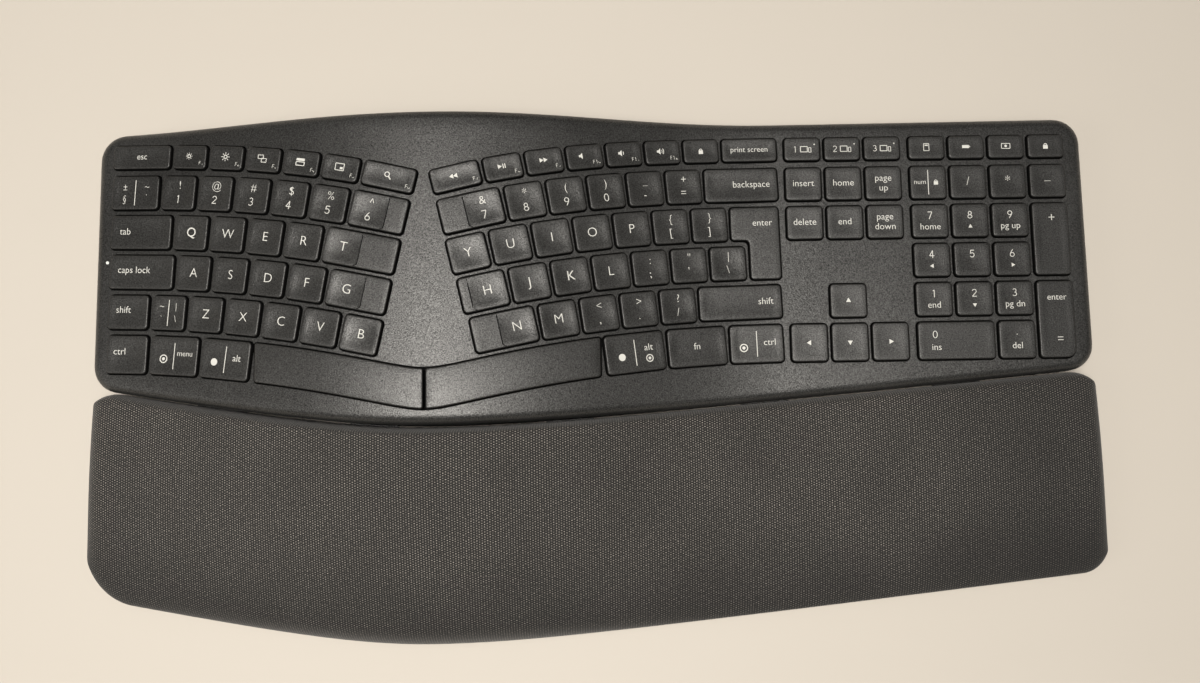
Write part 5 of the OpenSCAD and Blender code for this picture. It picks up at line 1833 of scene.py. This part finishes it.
GRAPHITE: Colour = (0.017, 0.017, 0.0165, 1.0)
FINISHES = (
    Finish("graphite_case", GRAPHITE, 0.34, 1800.0, 0.9, 0.06, mottle=1.3, glint=True),
    Finish("graphite_keys", GRAPHITE, 0.36, 1800.0, 0.7, 0.06, mottle=1.1, glint=True),
    Finish("white_ink", (0.54, 0.54, 0.51, 1.0), 0.6, 3000.0, 0.02, 0.05),
    # Painted shade: a near-black finish on the key skirts, the bars' insides, the lines at the wings' steps
    # and the openings' walls, where the graphite plastic lies in shadow.
    Finish("gap_dark", (0.003, 0.003, 0.003, 1.0), 0.8, 1500.0, 0.1, 0.05, specular=0.1),
    Finish("black_rubber", (0.02, 0.02, 0.02, 1.0), 0.8, 1500.0, 0.3, 0.1),
    # Black inner parts, near-black partly as their own colour and partly as painted shade seen down the key
    # gaps.
    Finish("black_inner", (0.008, 0.008, 0.008, 1.0), 0.7, 1500.0, 0.2, 0.1, specular=0.2),
    Finish("leg_plastic", (0.024, 0.024, 0.025, 1.0), 0.5, 1500.0, 0.4, 0.1),
    Finish("zinc_steel", (0.55, 0.56, 0.57, 1.0), 0.35, 1500.0, 0.1, 0.15, metallic=1.0),
    Finish("cell_jacket", (0.02, 0.05, 0.03, 1.0), 0.3, 2000.0, 0.02, 0.05),
    Finish("board_mask", (0.01, 0.06, 0.03, 1.0), 0.4, 2000.0, 0.05, 0.05),
    Finish("light_pipe", (0.6, 0.62, 0.6, 1.0), 0.3, 2000.0, 0.02, 0.05),
)


@dataclass(frozen=True)
class Knit:
    """The palm rest's cloth: dark yarn with light flecks."""

    name: str = "flecked_cloth"
    dark: Colour = (0.009, 0.0085, 0.008, 1.0)
    light: Colour = (0.3, 0.274, 0.245, 1.0)
    roughness: float = 0.9
    sheen: float = 0.12
    sheen_roughness: float = 0.5
    cloud_from: Point2 = (0.3, 0.7)
    cloud_to: Point2 = (0.85, 1.12)
    bump: float = 0.4
    depth: float = 0.0001

    def make(self, group: Tree) -> Material:
        """Builds the material on the shared knit."""
        sketch = MaterialSketch(self.name)
        knit = sketch.node("ShaderNodeGroup", node_tree=group).outputs
        yarn = sketch.mix(self.dark, self.light, knit["Fleck"], "MIX")
        cloud = sketch.node("ShaderNodeMapRange", {
            "Value": knit["Cloud"], "From Min": self.cloud_from[0], "From Max": self.cloud_from[1],
            "To Min": self.cloud_to[0], "To Max": self.cloud_to[1],
        }).outputs[0]
        # The cover's painted shade, darker towards the front edge and the right end, scales the cloth's tone.
        painted_cloth_shade = sketch.node("ShaderNodeAttribute", attribute_name="painted_cloth_shade").outputs["Fac"]
        sketch.coat({
            "Base Color": sketch.mix(yarn, sketch.math("MULTIPLY", cloud, painted_cloth_shade)),
            "Roughness": self.roughness,
            "Sheen Weight": self.sheen,
            "Sheen Roughness": self.sheen_roughness,
            "Normal": sketch.bump(knit["Height"], self.bump, self.depth),
        })
        return sketch.material


@dataclass(frozen=True)
class Lamp:
    """A soft oblong lamp that faces a point, in metres and watts."""

    name: str
    spot: Point3
    size: Point2
    power: float
    aim: Point3 = (0.0, 0.0, 0.0)

    def hang(self, colour: Point3) -> None:
        """Puts the lamp up."""
        light = bpy.data.lights.new(self.name, "AREA")
        light.shape = "RECTANGLE"
        light.size, light.size_y = self.size
        light.energy = self.power
        light.color = colour
        lamp = placed(self.name, light)
        lamp.location = self.spot
        lamp.rotation_euler = (Vector(self.aim) - Vector(self.spot)).to_track_quat("-Z", "Y").to_euler()


@dataclass
class Studio:
    """Camera, lamps and the pale table."""

    camera_mm: Point3 = (67.8, -81.8, 466.0)
    camera_turn: Point3 = (6.01, -0.72, -1.02)
    lens: float = 30.0
    sensor: float = 36.0
    clip: float = 0.01
    room: Colour = (1.0, 0.965, 0.92, 1.0)
    room_strength: float = 0.12
    table: Colour = (0.485, 0.448, 0.397, 1.0)
    glow: Point3 = (1.0, 0.955, 0.89)
    pale: Colour = (0.783, 0.694, 0.578, 1.0)
    near_r: float = 0.42
    far_r: float = 0.8
    rings: tuple[Point2, ...] = ((0.8, 0.0), (2.4, 0.0), (3.4, 0.08), (4.1, 0.35), (4.5, 0.85), (4.6, 1.6))
    steps: int = 64
    lamps: tuple[Lamp, ...] = (
        Lamp("ceiling", (0.08, -0.1, 1.5), (1.1, 1.0), 13.0, (0.08, -0.099, 0.0)),
        Lamp("panel", (-0.27, -0.12, 1.5), (0.66, 0.7), 23.0, (-0.27, -0.119, 0.0)),
        Lamp("wall", (-1.4, -0.45, 1.0), (0.9, 0.9), 4.0),
        Lamp("window", (-0.5, 1.0, 1.3), (0.8, 0.8), 0.3),
    )

    def table_finish(self, group: Tree) -> Material:
        """The table's finish, which turns into a plain pale backdrop away from the object."""
        material = Finish("table_top", self.table, 0.6, 900.0, 0.03, 0.05, mottle=0.02).make(group)
        sketch = Sketch(material.node_tree)
        place = sketch.node("ShaderNodeTexCoord").outputs["Object"]
        span = sketch.node("ShaderNodeVectorMath", {0: place}, operation="LENGTH").outputs["Value"]
        reach = {"Value": span, "From Min": self.near_r, "From Max": self.far_r}
        far = sketch.node("ShaderNodeMapRange", reach, interpolation_type="SMOOTHSTEP").outputs["Result"]
        path = sketch.node("ShaderNodeLightPath").outputs
        seen = path["Is Camera Ray"]
        for kind in ("Is Glossy Ray", "Is Transmission Ray"):
            seen = sketch.math("MAXIMUM", seen, path[kind])
        share = sketch.math("MULTIPLY", seen, far)
        top = sketch.find("BSDF_PRINCIPLED").outputs[0]
        plain = sketch.node("ShaderNodeEmission", {"Color": self.pale}).outputs[0]
        mixed = sketch.node("ShaderNodeMixShader", {0: share, 1: top, 2: plain}).outputs[0]
        sketch.feed(sketch.find("OUTPUT_MATERIAL").inputs["Surface"], mixed)
        return material

    def table_mesh(self) -> bpy.types.Mesh:
        """A round table top that sweeps up far from the object into a low wall all round."""
        steps = self.steps
        turns = [2 * math.pi * k / steps for k in range(steps)]
        points = [(r * math.cos(a), r * math.sin(a), z) for r, z in self.rings for a in turns]
        faces: list[Face] = [tuple(range(steps))]
        for ring in range(len(self.rings) - 1):
            for k in range(steps):
                a, b = ring * steps + k, ring * steps + (k + 1) % steps
                faces.append((a, a + steps, b + steps, b))
        mesh = bpy.data.meshes.new("table")
        mesh.from_pydata(points, [], faces)
        mesh.polygons.foreach_set("use_smooth", [True] * len(faces))
        return mesh

    def build(self, layout: Layout, group: Tree) -> None:
        """Sets up the stage."""
        scene = bpy.context.scene
        scene.view_settings.view_transform = "Standard"
        camera = bpy.data.cameras.new("camera")
        camera.sensor_width = self.sensor
        camera.lens = self.lens
        camera.clip_start = self.clip
        stand = placed("camera", camera)
        stand.location = layout.world(self.camera_mm)
        stand.rotation_euler = [math.radians(a) for a in self.camera_turn]
        scene.camera = stand
        world = bpy.data.worlds.new("room")
        world.use_nodes = True
        back = Sketch(world.node_tree).find("BACKGROUND")
        back.inputs[0].default_value = self.room
        back.inputs[1].default_value = self.room_strength
        scene.world = world
        for lamp in self.lamps:
            lamp.hang(self.glow)
        mesh = self.table_mesh()
        mesh.materials.append(self.table_finish(group))
        table = placed("table", mesh)


@dataclass
class RubberFeet:
    """The rubber strips that the keyboard stands on, ribbed underneath."""

    layout: Layout
    length: float = 40.0
    width: float = 9.0
    height: float = 1.0
    rib_h: float = 0.35
    ribs: int = 15
    inset: float = 40.0
    back_inset: float = 12.0
    front_inset: float = 14.0

    def spots(self) -> list[Point3]:
        """Middle of each strip's upper face."""
        layout = self.layout
        middle = (layout.palm_right - layout.palm_left) / 2
        back = [(x, layout.back_y - self.back_inset)
                for x in (-layout.body_left + self.inset, middle, layout.body_right - self.inset)]
        front = [(x, layout.palm_front(x) + self.front_inset)
                 for x in (-layout.palm_left + self.inset, middle, layout.palm_right - self.inset)]
        return [(x, y, self.height) for x, y in back + front]

    def tree(self) -> Tree:
        """Builds the tree: a strip with round ends and a row of ribs under it, set on every point."""
        sketch = GroupSketch(
            "ribbed_feet",
            {"Spots": Sockets.SHAPE, "Length": 0.04, "Width": 0.009, "Height": 0.001, "Rib height": 0.0003,
             "Ribs": Sockets.COUNT, "Finish": Sockets.FINISH},
            ("Feet",), Trees.GEOMETRY,
        )
        end_share, end_steps, rib_share, rib_reach, merge = 0.49, 10, 0.5, 0.75, 0.000001
        given, calc = sketch.given, sketch.math
        base = calc("SUBTRACT", given["Height"], given["Rib height"])
        low = calc("MULTIPLY", base, -1.0)
        sides = {"Width": given["Length"], "Height": given["Width"]}
        edge = sketch.shape("CurvePrimitiveQuadrilateral", sides)
        radius = calc("MULTIPLY", given["Width"], end_share)
        ends = sketch.shape("FilletCurve", {"Curve": edge, "Count": end_steps, "Radius": radius}, mode="POLY")
        sheet = sketch.shape("FillCurve", {"Curve": ends}, mode="NGONS")
        up = sketch.vector(0.0, 0.0, 1.0)
        pull = {"Mesh": sheet, "Individual": False, "Offset": up, "Offset Scale": base}
        under = sketch.shape("FlipFaces", {"Mesh": sheet})
        strip = sketch.gather(sketch.shape("ExtrudeMesh", pull, mode="FACES"), under)
        closed = sketch.shape("MergeByDistance", {"Geometry": strip, "Distance": merge})
        hung = sketch.shape("Transform", {"Geometry": closed, "Translation": sketch.vector(0.0, 0.0, low)})
        run = calc("SUBTRACT", given["Length"], given["Width"])
        pitch = calc("DIVIDE", run, calc("SUBTRACT", given["Ribs"], 1.0))
        line = {"Count": given["Ribs"], "Offset": sketch.vector(pitch, 0.0, 0.0),
                "Start Location": sketch.vector(calc("MULTIPLY", run, -0.5), 0.0, low)}
        row = sketch.shape("MeshLine", line, mode="OFFSET")
        size = sketch.vector(
            calc("MULTIPLY", pitch, rib_share), calc("MULTIPLY", given["Width"], rib_reach),
            calc("MULTIPLY", given["Rib height"], 2.0),
        )
        bar = sketch.shape("MeshCube", {"Size": size})
        ribs = sketch.shape("InstanceOnPoints", {"Points": row, "Instance": bar})
        foot = sketch.gather(hung, ribs)
        feet = sketch.shape("InstanceOnPoints", {"Points": given["Spots"], "Instance": foot})
        real = sketch.shape("RealizeInstances", {"Geometry": feet})
        dress = sketch.shape("SetMaterial", {"Geometry": real, "Material": given["Finish"]})
        return sketch.close({"Feet": dress})

    def build(self, rubber: Material) -> None:
        """Grows the feet and makes them a plain mesh."""
        tree = self.tree()
        spots = bpy.data.meshes.new("feet_spots")
        spots.from_pydata([tuple(self.layout.world(p)) for p in self.spots()], [], [])
        grower = placed("feet_spots", spots)
        grow = grower.modifiers.new("ribbed_feet", "NODES")
        grow.node_group = tree
        values = {"Length": self.length * MM, "Width": self.width * MM, "Height": self.height * MM,
                  "Rib height": self.rib_h * MM, "Ribs": self.ribs, "Finish": rubber}
        for socket in tree.interface.items_tree:
            if socket.in_out == "INPUT" and socket.name in values:
                grow[socket.identifier] = values[socket.name]
        mesh = plain_mesh(grower)
        bpy.data.objects.remove(grower)
        mesh.name = "ribbed_feet"
        piece = placed("ribbed_feet", mesh)
        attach(piece, "keyboard")
        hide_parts("rubber_feet")
        LOG.info("feet: %d faces", len(mesh.polygons))


@dataclass(frozen=True)
class Underside:
    """What the solids already show: the nodes that wear each finish."""

    worn: tuple[tuple[str, tuple[str, ...]], ...] = (
        # The inner parts under the keys wear near-black, partly painted shade seen down the gaps.
        ("black_inner", ("guide_plate", "dome_sheet", "contact_membrane", "power_switch")),
        ("graphite_case", ("bottom_case", "battery_door", "palm_rest_carrier")),
        ("leg_plastic", ("left_tall_leg", "left_short_leg", "right_tall_leg", "right_short_leg")),
        ("zinc_steel", ("support_plate", "battery_contacts", "case_screws", "palm_rest_screws",
                        "leg_hinge_pins")),
        ("cell_jacket", ("battery_cells",)),
        ("light_pipe", ("caps_lock_light",)),
        ("board_mask", ("controller_board",)),
    )

    def dress(self, nodes: dict[str, Piece], finishes: dict[str, Material]) -> None:
        """Gives each carried-over solid its finish.

        Args:
            nodes: the solids by name.
            finishes: the materials by name.
        """
        for finish, names in self.worn:
            for name in names:
                mesh = nodes[name].data
                mesh.materials.clear()
                mesh.materials.append(finishes[finish])


def main() -> None:
    """Builds the keyboard piece by piece."""
    logging.basicConfig(level=logging.INFO, format="%(name)s: %(message)s")
    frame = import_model()
    layout = Layout()
    grain = grain_group()
    made = {finish.name: finish.make(grain) for finish in FINISHES}
    keys = KeyField(layout)
    keys.build(made["graphite_keys"], made["white_ink"], made["gap_dark"])
    TopCase(layout, keys).build(made["graphite_case"], made["gap_dark"])
    PalmRest(layout).build(Knit().make(knit_group()))
    RubberFeet(layout).build(made["black_rubber"])
    Underside().dress(frame["nodes"], made)
    Studio().build(layout, grain)
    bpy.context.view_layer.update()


if __name__ == "__main__":
    main()
